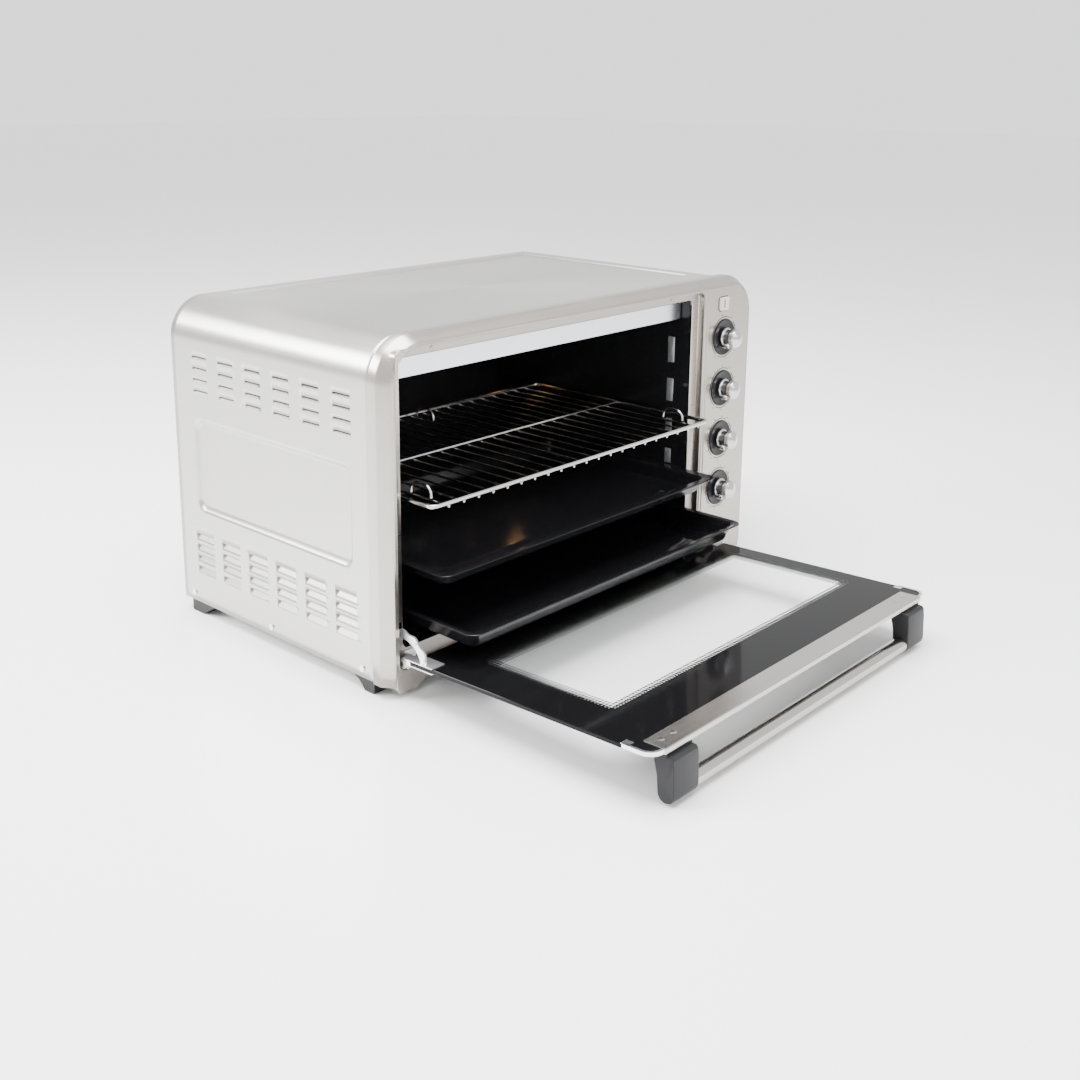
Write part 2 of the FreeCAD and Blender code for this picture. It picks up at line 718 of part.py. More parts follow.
def wireRack():
    radius, wire = names["rodR"], names["wireR"]
    z = names["rackZ"]
    front = faceY + names["rackFront"]
    rear = front + names["rackDeep"]
    left, right = doorX - shelfHalf + radius, doorX + shelfHalf - radius
    parts = [rod(left, y, z, "x", right - left, radius) for y in (front, rear)]
    crossR = wire * 1.2
    clearOfRail = 5
    parts.append(rod(left + clearOfRail, (front + rear) / 2, z - radius - wire + 1, "x",
                     right - left - 2 * clearOfRail, crossR))
    for x in (left, right):
        parts.append(rod(x, front, z, "y", rear - front, radius))
    for x in (left, right):
        for y in (front, rear):
            knuckle = doc.addObject("Part::Sphere", "rackKnuckle")
            bind(knuckle, "Radius", radius)
            place(knuckle, x, y, z)
            parts.append(knuckle)
    wires = 21
    pitch = (right - left) / (wires + 1)
    for k in range(1, wires + 1):
        parts.append(rod(left + pitch * k, front, z, "y", rear - front, wire))
    keep("wire_rack", fused(parts, "wireRack"))


def tray(name, front, z, depth, corner, flare):
    body = newBody(name)
    left, right = doorX - shelfHalf, doorX + shelfHalf
    y0 = faceY + front
    y1 = y0 + names["trayDeep"]
    skin = 0.9
    rim = 13
    slab(body, "z", z, z + skin, [rounded(left, right, y0, y1, corner)])

    def pan(inset, bottom, shrink):
        return [(z + skin * shrink, rounded(left + rim + inset, right - rim - inset, y0 + rim + inset,
                                            y1 - rim - inset, corner - 4)),
                (bottom, rounded(left + rim + flare + inset, right - rim - flare - inset,
                                 y0 + rim + flare + inset, y1 - rim - flare - inset, corner - 6))]

    loft(body, "Additive", "z", pan(0, z - depth, 0))
    loft(body, "Subtractive", "z", pan(skin, z - depth + skin, 1))
    keep(name, body)


def trimmings():
    headR, headHigh = 3.5, 1.6
    screws = []
    for side, way in ((-1, "-x"), (1, "x")):
        for y in (faceY + 45, faceY + 200, faceY + 350):
            screws.append(rod(wrapHalf * side, y, 24, way, headHigh, headR))
    screws += [rod(x, rearY, z, "y", headHigh, headR) for x in (-290, 0, 290) for z in (30, 338)]
    keep("case_screws", grouped(screws, "caseScrews"))
    spacers = [rod(x, rearY, 200, "y", 12, 9) for x in (-220, 220)]
    keep("rear_spacers", grouped(spacers, "rearSpacers"))
    glandLine = [(4, 0), (11, 0), (11, 3), (8.5, 4), (7, 14), (4, 14)]
    keep("cord_gland", turned("cord_gland", glandLine, 255, rearY, 60, turns["y"]))
    right = doorX + cavityHalf
    heads = [rod(right, faceY + 15, z, "-x", 1.2, 3) for z in (314, 246, 170, 100)]
    keep("mouth_screws", grouped(heads, "mouthScrews"))
    bumpers = [rod(doorX + side * 200, ledgeY, 359.5, "-y", 1, 3) for side in (-1, 1)]
    keep("door_bumpers", grouped(bumpers, "doorBumpers"))


casing()
fascia()
panels()
cavity()
feet()
controls()
pilotLamp()
doorPanel()
hinges()
handle()
wireRack()
tray("baking_tray", names["bakeFront"], names["bakeZ"], 18, 24, 5)
tray("drip_tray", names["dripFront"], names["dripZ"], 21, 24, 6)
trimmings()

doc.recompute()
faulty = [thing.Label for thing in doc.Objects if "Invalid" in thing.State or "Error" in thing.State]
if faulty:
    raise RuntimeError("not computed: " + ", ".join(faulty))

os.makedirs("parts", exist_ok=True)
whole = FreeCAD.BoundBox()
for name, thing in pieces.items():
    shape = thing.Shape
    if shape.isNull() or not shape.isValid():
        raise RuntimeError(name + " is not a valid shape")
    whole.add(shape.BoundBox)
    shape.exportStep(f"parts/{name}.step")
    print(f"{name:32s} solids {len(shape.Solids):2d} volume {shape.Volume:12.1f}")
print("pieces", len(pieces), "box", whole)
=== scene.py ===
import json
import math
import bmesh
import bpy
import numpy as np
from mathutils import Matrix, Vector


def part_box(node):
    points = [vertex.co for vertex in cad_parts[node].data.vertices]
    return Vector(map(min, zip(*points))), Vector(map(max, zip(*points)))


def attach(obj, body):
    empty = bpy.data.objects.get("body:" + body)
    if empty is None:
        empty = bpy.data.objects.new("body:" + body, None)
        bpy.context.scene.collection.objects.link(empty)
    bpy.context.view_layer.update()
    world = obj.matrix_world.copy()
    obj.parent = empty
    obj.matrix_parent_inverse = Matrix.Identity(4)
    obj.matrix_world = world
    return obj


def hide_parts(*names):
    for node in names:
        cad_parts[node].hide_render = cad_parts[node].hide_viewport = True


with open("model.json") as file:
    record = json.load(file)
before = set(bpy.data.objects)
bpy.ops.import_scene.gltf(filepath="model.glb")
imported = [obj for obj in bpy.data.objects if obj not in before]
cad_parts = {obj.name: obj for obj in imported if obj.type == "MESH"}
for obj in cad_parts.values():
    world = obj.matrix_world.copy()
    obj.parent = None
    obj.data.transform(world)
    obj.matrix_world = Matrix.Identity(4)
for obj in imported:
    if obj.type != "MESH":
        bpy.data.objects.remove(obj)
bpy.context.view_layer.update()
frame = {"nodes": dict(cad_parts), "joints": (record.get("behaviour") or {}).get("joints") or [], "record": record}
nodes = frame["nodes"]
joints = {joint["name"]: joint for joint in frame["joints"]}
mm = 0.001
sheetWall = 0.8 * mm  # casing, fascia and trays
print("frame loaded:", len(nodes), "pieces")


# Shader maths: a wire is one value on its way through the nodes, and plain arithmetic adds Math nodes
class Wire:
    def __init__(self, paint, socket):
        self.paint = paint
        self.socket = socket

    def step(self, operation, *others):
        values = {0: self.socket}
        for place, other in enumerate(others, start=1):
            values[place] = other
        return self.paint.wire("ShaderNodeMath", {"operation": operation}, values)

    def __add__(self, other): return self.step("ADD", other)
    def __radd__(self, other): return self.step("ADD", other)
    def __sub__(self, other): return self.step("SUBTRACT", other)
    def __rsub__(self, other): return (self * -1.0) + other
    def __mul__(self, other): return self.step("MULTIPLY", other)
    def __rmul__(self, other): return self.step("MULTIPLY", other)
    def __truediv__(self, other): return self.step("DIVIDE", other)
    def over(self, other): return self.step("GREATER_THAN", other)
    def under(self, other): return self.step("LESS_THAN", other)
    def size(self): return self.step("ABSOLUTE")
    def most(self, other): return self.step("MAXIMUM", other)
    def least(self, other): return self.step("MINIMUM", other)
    def root(self): return self.step("SQRT")
    def part(self): return self.step("FRACT")


# One material: a principled shader with helpers that add nodes and feed its inputs
class Paint:
    def __init__(self, name, **fixed):
        self.material = bpy.data.materials.new(name)
        self.material.use_nodes = True
        self.tree = self.material.node_tree
        self.shader = self.tree.nodes["Principled BSDF"]
        for key, value in fixed.items():
            self.set(key.replace("_", " "), value)

    def set(self, socket, value):
        if isinstance(value, Wire):
            value = value.socket
        target = self.shader.inputs[socket]
        if isinstance(value, bpy.types.NodeSocket):
            self.tree.links.new(value, target)
        elif isinstance(value, (tuple, list)) and len(value) == 3:
            target.default_value = (*value, 1.0)
        else:
            target.default_value = value

    def node(self, kind, settings=None, values=None):
        made = self.tree.nodes.new(kind)
        for key, value in (settings or {}).items():
            setattr(made, key, value)
        for key, value in (values or {}).items():
            if isinstance(value, Wire):
                value = value.socket
            if isinstance(value, bpy.types.NodeSocket):
                self.tree.links.new(value, made.inputs[key])
            elif (isinstance(value, (tuple, list)) and len(value) == 3
                  and len(made.inputs[key].default_value) == 4):
                made.inputs[key].default_value = (*value, 1.0)
            else:
                made.inputs[key].default_value = value
        return made

    def wire(self, kind, settings=None, values=None, output=0):
        return Wire(self, self.node(kind, settings, values).outputs[output])

    def place(self, scale=(1, 1, 1)):
        start = self.node("ShaderNodeTexCoord").outputs["Object"]
        return self.node("ShaderNodeMapping", None, {"Vector": start, "Scale": scale}).outputs[0]

    def axes(self):
        start = self.node("ShaderNodeTexCoord").outputs["Object"]
        split = self.node("ShaderNodeSeparateXYZ", None, {0: start})
        return [Wire(self, split.outputs[k]) for k in range(3)]

    def noise(self, scale=(1, 1, 1), size=1.0, detail=3.0, rough=0.5):
        return self.wire("ShaderNodeTexNoise", None, {"Vector": self.place(scale), "Scale": size,
                                                      "Detail": detail, "Roughness": rough})

    def blend(self, amount, first, second):
        made = self.node("ShaderNodeMix", {"data_type": "RGBA"}, {0: amount, 6: first, 7: second})
        return made.outputs[2]

    def bump(self, height, strength, distance):
        values = {"Height": height, "Strength": strength, "Distance": distance}
        made = self.node("ShaderNodeBump", None, values)
        self.set("Normal", made.outputs[0])


# Finishes

# Brushing: colour share = 0.7 x grain + 0.3 x clouds, where grain is noise squeezed across the brushing;
# roughness = rough - 0.09 + 0.12 x grain + 0.06 x clouds, and the grain is the bump's height
def brushedSteel(name, light, dark, rough, across):
    paint = Paint(name, Metallic=1.0, Anisotropic=0.35)
    grain = paint.noise(across, 1.0, 4.0, 0.65)
    clouds = paint.noise((9, 9, 9), 1.0, 2.0)
    paint.set("Base Color", paint.blend(grain * 0.7 + clouds * 0.3, dark, light))
    paint.set("Roughness", grain * 0.12 + clouds * 0.06 + (rough - 0.09))
    paint.bump(grain, 0.05, 0.0002)
    return paint.material


# Fired glass coat: a slight orange peel, and rare pale specks.
def enamel(name, colour, rough, speckle=0.35):
    paint = Paint(name, Specular_IOR_Level=0.3)
    specks = paint.noise((1400, 1400, 1400), 1.0, 1.0).over(0.72)
    clouds = paint.noise((14, 14, 14), 1.0, 3.0)
    paint.set("Base Color", paint.blend(specks * speckle, colour, (0.16, 0.16, 0.17)))
    paint.set("Roughness", clouds * 0.1 + (rough - 0.05))
    paint.bump(paint.noise((160, 160, 160), 1.0, 2.0), 0.05, 0.0006)
    return paint.material


# Plated or plain metal: colour = colour x (1 - 0.1 x smudge noise), roughness = rough + 0.08 x smudge
def polished(name, colour, rough):
    paint = Paint(name, Metallic=1.0)
    smudge = paint.noise((60, 60, 60), 1.0, 3.0)
    paint.set("Base Color", paint.blend(smudge, colour, tuple(0.9 * c for c in colour)))
    paint.set("Roughness", smudge * 0.08 + rough)
    return paint.material


# Moulded plastic: a spark-eroded grain, a shade lighter on the grain's tops.
def moulded(name, colour, rough, grainSize=1800):
    paint = Paint(name, Specular_IOR_Level=0.22)
    grain = paint.noise((grainSize,) * 3, 1.0, 2.0)
    clouds = paint.noise((25, 25, 25), 1.0, 2.0)
    paint.set("Base Color", paint.blend(grain * 0.5 + clouds * 0.5, colour, tuple(1.5 * c for c in colour)))
    paint.set("Roughness", clouds * 0.12 + (rough - 0.06))
    paint.bump(grain, 0.12, 0.0002)
    return paint.material


# Zinc spangle: flat cells a little lighter or darker than their neighbours.
def zincCoat(name, colour, rough):
    paint = Paint(name, Metallic=0.85)
    cells = paint.wire("ShaderNodeTexVoronoi", None, {"Vector": paint.place((140, 140, 140)), "Scale": 1.0})
    grain = paint.noise((300, 300, 300), 1.0, 2.0)
    paint.set("Base Color", paint.blend(cells * 0.6 + grain * 0.4, colour, tuple(0.8 * c for c in colour)))
    paint.set("Roughness", grain * 0.15 + (rough - 0.07))
    return paint.material


doorGlassLook = {
    "windowX": (-0.256, 0.186), "windowY": (-0.267, -0.097),  # clear window, in the open door's place
    "fade": 0.011, "pitch": 0.0042, "ink": (0.004, 0.004, 0.0045), "rounding": 0.010,
}


# Black print outside the window; in a band inside its edge the print breaks into shrinking dots.
def printedGlass(name):
    look = doorGlassLook
    paint = Paint(name, Roughness=0.06, IOR=1.45, Specular_IOR_Level=0.1)
    x, y = paint.axes()[:2]
    x0, x1 = look["windowX"]
    y0, y1 = look["windowY"]
    r = look["rounding"]
    outX = ((x - (x0 + x1) / 2).size() - ((x1 - x0) / 2 - r)).most(0.0)
    outY = ((y - (y0 + y1) / 2).size() - ((y1 - y0) / 2 - r)).most(0.0)
    edge = (outX * outX + outY * outY).root() - r
    inward = ((x - (x0 + x1) / 2).size() - (x1 - x0) / 2).most((y - (y0 + y1) / 2).size() - (y1 - y0) / 2)
    depth = (inward * -1.0 / look["fade"]).most(0.0)
    printed = edge.over(0.0)
    cellX = (x / look["pitch"]).part() - 0.5
    cellY = (y / look["pitch"]).part() - 0.5
    radius = (cellX * cellX + cellY * cellY).root()
    dots = radius.under(0.5 - depth * 0.12) * depth.under(1.0)
    ink = printed.most(dots)
    haze = paint.noise((12, 12, 12), 1.0, 3.0)
    paint.set("Base Color", paint.blend(ink, (0.70, 0.73, 0.72), look["ink"]))
    paint.set("Alpha", ink * 0.93 + 0.07)
    paint.set("Roughness", haze * 0.05 + 0.05)
    return paint.material


# Tinted glass: colour darkens by a tenth with a slow haze, roughness = 0.06 + 0.08 x haze
def tintedGlass(name, colour, alpha):
    paint = Paint(name, IOR=1.45, Alpha=alpha)
    haze = paint.noise((40, 40, 40), 1.0, 3.0)
    paint.set("Base Color", paint.blend(haze, colour, tuple(0.9 * c for c in colour)))
    paint.set("Roughness", haze * 0.08 + 0.06)
    return paint.material


# Spun face: the grain runs round each knob's own axis, so rings of noise follow the radius.
def radialSteel(name, centres, facing):
    paint = Paint(name, Metallic=1.0, Anisotropic=0.5)
    x, z = paint.axes()[::2]
    rings = None
    for cx, cz in centres:
        radius = ((x - cx) * (x - cx) + (z - cz) * (z - cz)).root()
        rings = radius if rings is None else rings.least(radius)
    ringNoise = paint.wire("ShaderNodeTexNoise", {"noise_dimensions": "1D"},
                           {"W": rings * 2600.0, "Scale": 1.0, "Detail": 2.0})
    paint.set("Base Color", paint.blend(ringNoise, facing, tuple(0.78 * c for c in facing)))
    paint.set("Roughness", ringNoise * 0.12 + 0.1)
    paint.bump(ringNoise, 0.06, 0.0001)
    return paint.material


faceY = joints["door_hinge"]["pos_m"][1]
hingeZ = joints["door_hinge"]["pos_m"][2]
dialJoints = [joints[name + "_turn"] for name in ("upper_thermostat", "function_switch",
                                                  "lower_thermostat", "timer")]
dialNames = [joint["name"][:-5] for joint in dialJoints]
dialCentres = [(joint["pos_m"][0], joint["pos_m"][2]) for joint in dialJoints]

finishes = {
    "brushed_casing": brushedSteel("casingSteel", (0.53, 0.52, 0.505), (0.42, 0.41, 0.395),
                                   0.31, (900, 5, 900)),
    "brushed_fascia": brushedSteel("fasciaSteel", (0.47, 0.435, 0.40), (0.375, 0.345, 0.315),
                                   0.29, (5, 900, 900)),
    "galvanised_steel": zincCoat("zincSheet", (0.60, 0.61, 0.62), 0.45),
    "black_enamel_liner": enamel("linerEnamel", (0.008, 0.008, 0.009), 0.22),
    "black_enamel_tray": enamel("trayEnamel", (0.005, 0.005, 0.006), 0.14, 0.2),
    "bright_reflector": polished("reflectorSheet", (0.86, 0.89, 0.95), 0.22),
    "chromed_wire": polished("wireChrome", (0.66, 0.65, 0.63), 0.12),
    "heater_sheath": polished("heaterSheath", (0.22, 0.20, 0.19), 0.35),
    "white_ceramic": moulded("ceramicWhite", (0.62, 0.60, 0.56), 0.7, 900),
    "clear_glass": tintedGlass("lampGlass", (0.95, 0.90, 0.80), 0.4),
    "amber_lens": tintedGlass("paleLens", (0.62, 0.58, 0.52), 1.0),
    "charcoal_plastic": moulded("charcoalPlastic", (0.011, 0.011, 0.012), 0.46),
    "black_rubber": moulded("blackRubber", (0.008, 0.008, 0.008), 0.7),
    "dark_bezel": moulded("bezelPlastic", (0.007, 0.007, 0.008), 0.3),
    "knob_chrome": radialSteel("knobSteel", dialCentres, (0.58, 0.58, 0.59)),
    "switch_housing": moulded("switchHousing", (0.55, 0.53, 0.48), 0.6),
    "steel_spindle": polished("turnedSteel", (0.62, 0.62, 0.63), 0.25),
    "door_glass": printedGlass("doorGlassPrint"),
    "brushed_trim": brushedSteel("trimSteel", (0.50, 0.475, 0.45), (0.38, 0.36, 0.34),
                                 0.2, (5, 900, 900)),
    "bright_screw": polished("platedScrew", (0.76, 0.76, 0.77), 0.15),
    "zinc_steel": zincCoat("zincPlate", (0.80, 0.80, 0.80), 0.3),
}
glow = Paint("bulbGlow", Roughness=0.3, Emission_Strength=14.0)
glow.set("Base Color", (0.9, 0.8, 0.6))
glow.set("Emission Color", (1.0, 0.55, 0.2))
slotOf = {part["node"]: part["material_slot"] for part in frame["record"]["subparts"]}
for name, node in nodes.items():
    node.data.materials.clear()
    node.data.materials.append(finishes[slotOf[name]])
nodes["lamp_bulb"].data.materials[0] = glow.material
print("finishes ready:", len(finishes))


# Surfaces: every shape is a grid of points, one row for each profile point or loop

# Four-sided faces between neighbouring points of a grid, wrapped round where it is closed.
def gridFaces(rows, columns, closeRows, closeColumns, first, flip, keep):
    index = np.arange(rows * columns).reshape(rows, columns) + first
    if closeRows:
        index = np.vstack([index, index[:1]])
    if closeColumns:
        index = np.hstack([index, index[:, :1]])
    quads = np.stack([index[:-1, :-1], index[1:, :-1], index[1:, 1:], index[:-1, 1:]], axis=-1)
    if keep is not None:
        quads = quads[keep]
    quads = quads.reshape(-1, 4)
    return quads[:, ::-1] if flip else quads


# Joins grids, given as (points, options), into one mesh on a body
def makePiece(name, grids, finish, body, replaced=(), creaseAngle=32):
    points = []
    faces = []
    first = 0
    for spots, options in grids:
        rows, columns = spots.shape[:2]
        close = options.get("close", "")
        faces.append(gridFaces(rows, columns, "r" in close, "c" in close, first,
                               options.get("flip", False), options.get("keep")))
        points.append(spots.reshape(-1, 3))
        first += rows * columns
    points = np.concatenate(points)
    faces = np.concatenate(faces)
    mesh = bpy.data.meshes.new(name)
    mesh.vertices.add(len(points))
    mesh.vertices.foreach_set("co", points.astype(np.float32).ravel())
    mesh.loops.add(faces.size)
    mesh.loops.foreach_set("vertex_index", faces.astype(np.int32).ravel())
    mesh.polygons.add(len(faces))
    mesh.polygons.foreach_set("loop_start", np.arange(0, faces.size, 4, dtype=np.int32))
    mesh.update(calc_edges=True)
    welded = bmesh.new()
    welded.from_mesh(mesh)
    bmesh.ops.remove_doubles(welded, verts=welded.verts, dist=1e-6)
    welded.to_mesh(mesh)
    welded.free()
    mesh.polygons.foreach_set("use_smooth", np.ones(len(mesh.polygons), dtype=bool))
    mesh.set_sharp_from_angle(angle=math.radians(creaseAngle))
    mesh.materials.append(finishes[finish])
    piece = bpy.data.objects.new(name, mesh)
    bpy.context.scene.collection.objects.link(piece)
    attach(piece, body)
    if replaced:
        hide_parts(*replaced)
    return piece


# Circle points: centre + radius x (cosine, sine) of an even turn
def arcSpots(cx, cy, radius, fromDeg, toDeg, steps):
    turn = np.radians(np.linspace(fromDeg, toDeg, steps))
    return np.stack([cx + radius * np.cos(turn), cy + radius * np.sin(turn)], axis=-1)


# A rectangle whose corners are quarter circles, from the lower right corner round to the lower left one
def roundedLoop(x0, x1, y0, y1, radius, steps=9):
    radius = max(min(radius, (x1 - x0) / 2.001, (y1 - y0) / 2.001), 1e-6)
    corners = [(x1 - radius, y0 + radius, -90), (x1 - radius, y1 - radius, 0),
               (x0 + radius, y1 - radius, 90), (x0 + radius, y0 + radius, 180)]
    return np.concatenate([arcSpots(cx, cy, radius, deg, deg + 90, steps) for cx, cy, deg in corners])


# An upside-down U: a straight line up the left side, two quarter circles, a straight line down
def archLine(half, top, low, radius, steps=24):
    left = np.stack([np.full(12, -half), np.linspace(low, top - radius, 12)], axis=-1)
    over = np.concatenate([arcSpots(-half + radius, top - radius, radius, 180, 90, steps),
                           arcSpots(half - radius, top - radius, radius, 90, 0, steps)])
    return np.concatenate([left[:-1], over, left[:-1][::-1] * [-1, 1]])


# A profile of (radius, reach) turned round an axis: centre + radius x (cosine, sine), + reach along the axis
def turnedGrid(profile, centre, axis, steps=64):
    profile = np.array(profile, float)
    turn = np.linspace(0, 2 * math.pi, steps, endpoint=False)
    ring = np.stack([np.cos(turn), np.sin(turn)], axis=-1)
    spots = np.zeros((len(profile), steps, 3))
    across = [k for k in range(3) if axis[k] == 0]
    along = [k for k in range(3) if axis[k] != 0][0]
    spots[..., across[0]] = centre[across[0]] + profile[:, :1] * ring[None, :, 0]
    spots[..., across[1]] = centre[across[1]] + profile[:, :1] * ring[None, :, 1]
    spots[..., along] = centre[along] + profile[:, 1:] * axis[along]
    return spots


# A circle carried along a path; each ring stands square to the path's run.
def tubeGrid(path, radius, sides=12, closed=False, up=(0, 0, 1)):
    path = np.array(path, float)
    if closed:
        run = np.roll(path, -1, axis=0) - np.roll(path, 1, axis=0)
    else:
        run = np.gradient(path, axis=0)
    run /= np.linalg.norm(run, axis=1, keepdims=True)
    side = np.cross(run, np.array(up, float))
    side /= np.linalg.norm(side, axis=1, keepdims=True)
    lift = np.cross(side, run)
    turn = np.linspace(0, 2 * math.pi, sides, endpoint=False)
    ring = side[:, None] * np.cos(turn)[None, :, None] + lift[:, None] * np.sin(turn)[None, :, None]
    spots = path[:, None] + ring * radius
    if closed:
        return spots
    return np.concatenate([path[:1, None] + ring[:1] * 0, spots, path[-1:, None] + ring[-1:] * 0])


# Closes both ends of a section carried along columns: each end gets a column at its middle.
def capped(rows):
    ends = rows[:, [0, -1]].mean(axis=0, keepdims=True).repeat(len(rows), axis=0)
    return np.concatenate([ends[:, :1], rows, ends[:, 1:]], axis=1)


# Gives an open sheet its thickness, inward from the outer face
def addWall(piece, thickness):
    wall = piece.modifiers.new("wall", "SOLIDIFY")
    wall.thickness = thickness
    wall.offset = -1


# Smooth step: value squared x (3 - 2 x value), with the value held between 0 and 1
def smoothStep(value):
    value = np.clip(value, 0, 1)
    return value * value * (3 - 2 * value)


# Casing: one sheet that wraps over the oven, with pressed panels and louvres

casingLook = {
    "radius": 45 * mm, "panelCorner": 14 * mm, "louvreRamp": 0.6 * mm,
    "panelY": (56 * mm, 334 * mm), "panelZ": (130 * mm, 241 * mm), "panelDeep": 4 * mm, "panelSlope": 6 * mm,
    "topX": (-246 * mm, 262 * mm), "topY": (64 * mm, 356 * mm), "topDeep": 2.4 * mm, "topSlope": 4 * mm,
    "columns": 6, "rows": 4,
    "upper": {"y": 303 * mm, "long": 28 * mm, "pitchY": -49.7 * mm, "z": 310.5 * mm, "tall": 4 * mm,
              "pitchZ": -13.1 * mm, "deep": 4 * mm},
    "lower": {"y": 305 * mm, "long": 35 * mm, "pitchY": -50.7 * mm, "z": 92 * mm, "tall": 9 * mm,
              "pitchZ": -13.5 * mm, "deep": 5 * mm},
}


# Each louvre's ends along the casing, and its lower and upper edges
def louvreSpans(block):
    columns = np.arange(casingLook["columns"])
    rows = np.arange(casingLook["rows"])
    y0 = faceY + block["y"] + block["pitchY"] * columns
    z0 = block["z"] + block["pitchZ"] * rows
    return y0, y0 + block["long"], z0, z0 + block["tall"]


# How far the side is pressed in: depth x smooth step of the distance inside a rounded rectangle, plus
# scoops whose depth grows in proportion to height, from nothing at the lower edge to all at the upper edge
def sideDepth(y, z):
    look = casingLook
    y0, y1 = (faceY + v for v in look["panelY"])
    z0, z1 = look["panelZ"]
    corner = look["panelCorner"]
    outY = np.maximum(np.abs(y - (y0 + y1) / 2) - ((y1 - y0) / 2 - corner), 0)
    outZ = np.maximum(np.abs(z - (z0 + z1) / 2) - ((z1 - z0) / 2 - corner), 0)
    deep = np.minimum(np.maximum(np.abs(y - (y0 + y1) / 2) - (y1 - y0) / 2 + corner,
                                 np.abs(z - (z0 + z1) / 2) - (z1 - z0) / 2 + corner), 0)
    edge = np.hypot(outY, outZ) + deep - corner
    pressed = look["panelDeep"] * smoothStep(-edge / look["panelSlope"])
    for key in ("upper", "lower"):
        block = look[key]
        starts, ends, lows, highs = louvreSpans(block)
        ramp = look["louvreRamp"]
        for start, end in zip(starts, ends):
            inY = smoothStep((y - start) / ramp) * smoothStep((end - y) / ramp)
            for low, high in zip(lows, highs):
                up = (z - low) / (high - low)
                pressed = pressed + block["deep"] * inY * np.where((up >= 0) & (up <= 1), up, 0)
    return pressed


# Sheet = arch line carried front to back; the sides move in by sideDepth, and the top sinks by
# depth x smooth step of the distance inside its panel; the sheet is cut open along each louvre's upper edge
def casing():
    look = casingLook
    low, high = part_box("casing_wrap")
    half = high.x
    top = high.z
    radius = look["radius"]
    zLines = [np.linspace(low.z, top - radius, 34)]
    yLines = [np.linspace(low.y, high.y, 40)]
    for z in look["panelZ"]:
        zLines.append(z + np.linspace(-7, 21, 10) * mm * (1 if z < 0.18 else -1))
    for y in look["panelY"]:
        yLines.append(faceY + y + np.linspace(-2, 18, 10) * mm * (1 if y < 0.18 else -1))
    for key in ("upper", "lower"):
        starts, ends, lows, highs = louvreSpans(look[key])
        for steps in (0, 0.3, 0.6):
            yLines += [starts + steps * mm, ends - steps * mm]
        zLines += [lows - 0.02 * mm, lows, highs, highs + 0.02 * mm]
        for share in (0.25, 0.5, 0.75):
            zLines.append(lows + share * (highs - lows))
    for y in look["topY"]:
        yLines.append(faceY + y + np.linspace(-1, 6, 7) * mm * (1 if y < 0.18 else -1))
    zs = np.unique(np.round(np.concatenate([np.ravel(v) for v in zLines]), 6))
    ys = np.unique(np.round(np.concatenate([np.ravel(v) for v in yLines]), 6))
    zs = zs[zs <= top - radius]
    xTop = np.unique(np.concatenate([np.linspace(-half + radius, half - radius, 24),
                                     look["topX"][0] + np.linspace(0, 6, 6) * mm,
                                     look["topX"][1] - np.linspace(0, 6, 6) * mm]))
    overLeft = arcSpots(-half + radius, top - radius, radius, 180, 90, 18)[1:-1]
    overRight = arcSpots(half - radius, top - radius, radius, 90, 0, 18)[1:-1]
    line = np.concatenate([
        np.stack([np.full(len(zs), -half), zs], axis=-1), overLeft,
        np.stack([xTop, np.full(len(xTop), top)], axis=-1), overRight,
        np.stack([np.full(len(zs), half), zs[::-1]], axis=-1)])
    y, x = np.meshgrid(ys, line[:, 0])
    z = np.repeat(line[:, 1:], len(ys), axis=1)
    onSide = (np.abs(x) > half - 1e-9) & (z <= top - radius + 1e-9)
    pressed = np.where(onSide, sideDepth(y, z), 0)
    topX0, topX1 = look["topX"]
    topY0, topY1 = (faceY + v for v in look["topY"])
    inside = np.minimum(np.minimum(x - topX0, topX1 - x), np.minimum(y - topY0, topY1 - y))
    sunk = np.where(z > top - 1e-9, look["topDeep"] * smoothStep(inside / look["topSlope"]), 0)
    spots = np.stack([x - np.sign(x) * pressed, y, z - sunk], axis=-1)
    rise = np.abs(np.diff(z, axis=0))[:, :-1]
    jump = np.abs(np.diff(pressed, axis=0))
    slits = (rise < 0.05 * mm) & (np.maximum(jump[:, :-1], jump[:, 1:]) > 1 * mm)
    piece = makePiece("casingShell", [(spots, {"keep": ~slits})], "brushed_casing", "oven",
                      ["casing_wrap"], 40)
    addWall(piece, sheetWall)


# Fascia: bevelled outline, flat face, door recess and the mouth's ledge

fasciaLook = {"radius": 48 * mm, "bevelIn": 9 * mm, "bevelDeep": 13 * mm, "lip": 12 * mm, "low": 14 * mm,
              "recess": (-305 * mm, 209 * mm, 30 * mm, 364.5 * mm), "recessDeep": 9 * mm,
              "mouth": (-292 * mm, 196 * mm, 50 * mm, 355 * mm), "legLow": 6 * mm,
              "staySlot": (63.5 * mm, 79.5 * mm), "crest": 2.2 * mm, "legDeep": 14 * mm,
              "legX": (13 * mm, 282 * mm, 266 * mm), "ribs": (2.2 * mm, 8 * mm), "ribTall": 0.8 * mm,
              "cornerSteps": 9, "ledgeRow": 4}


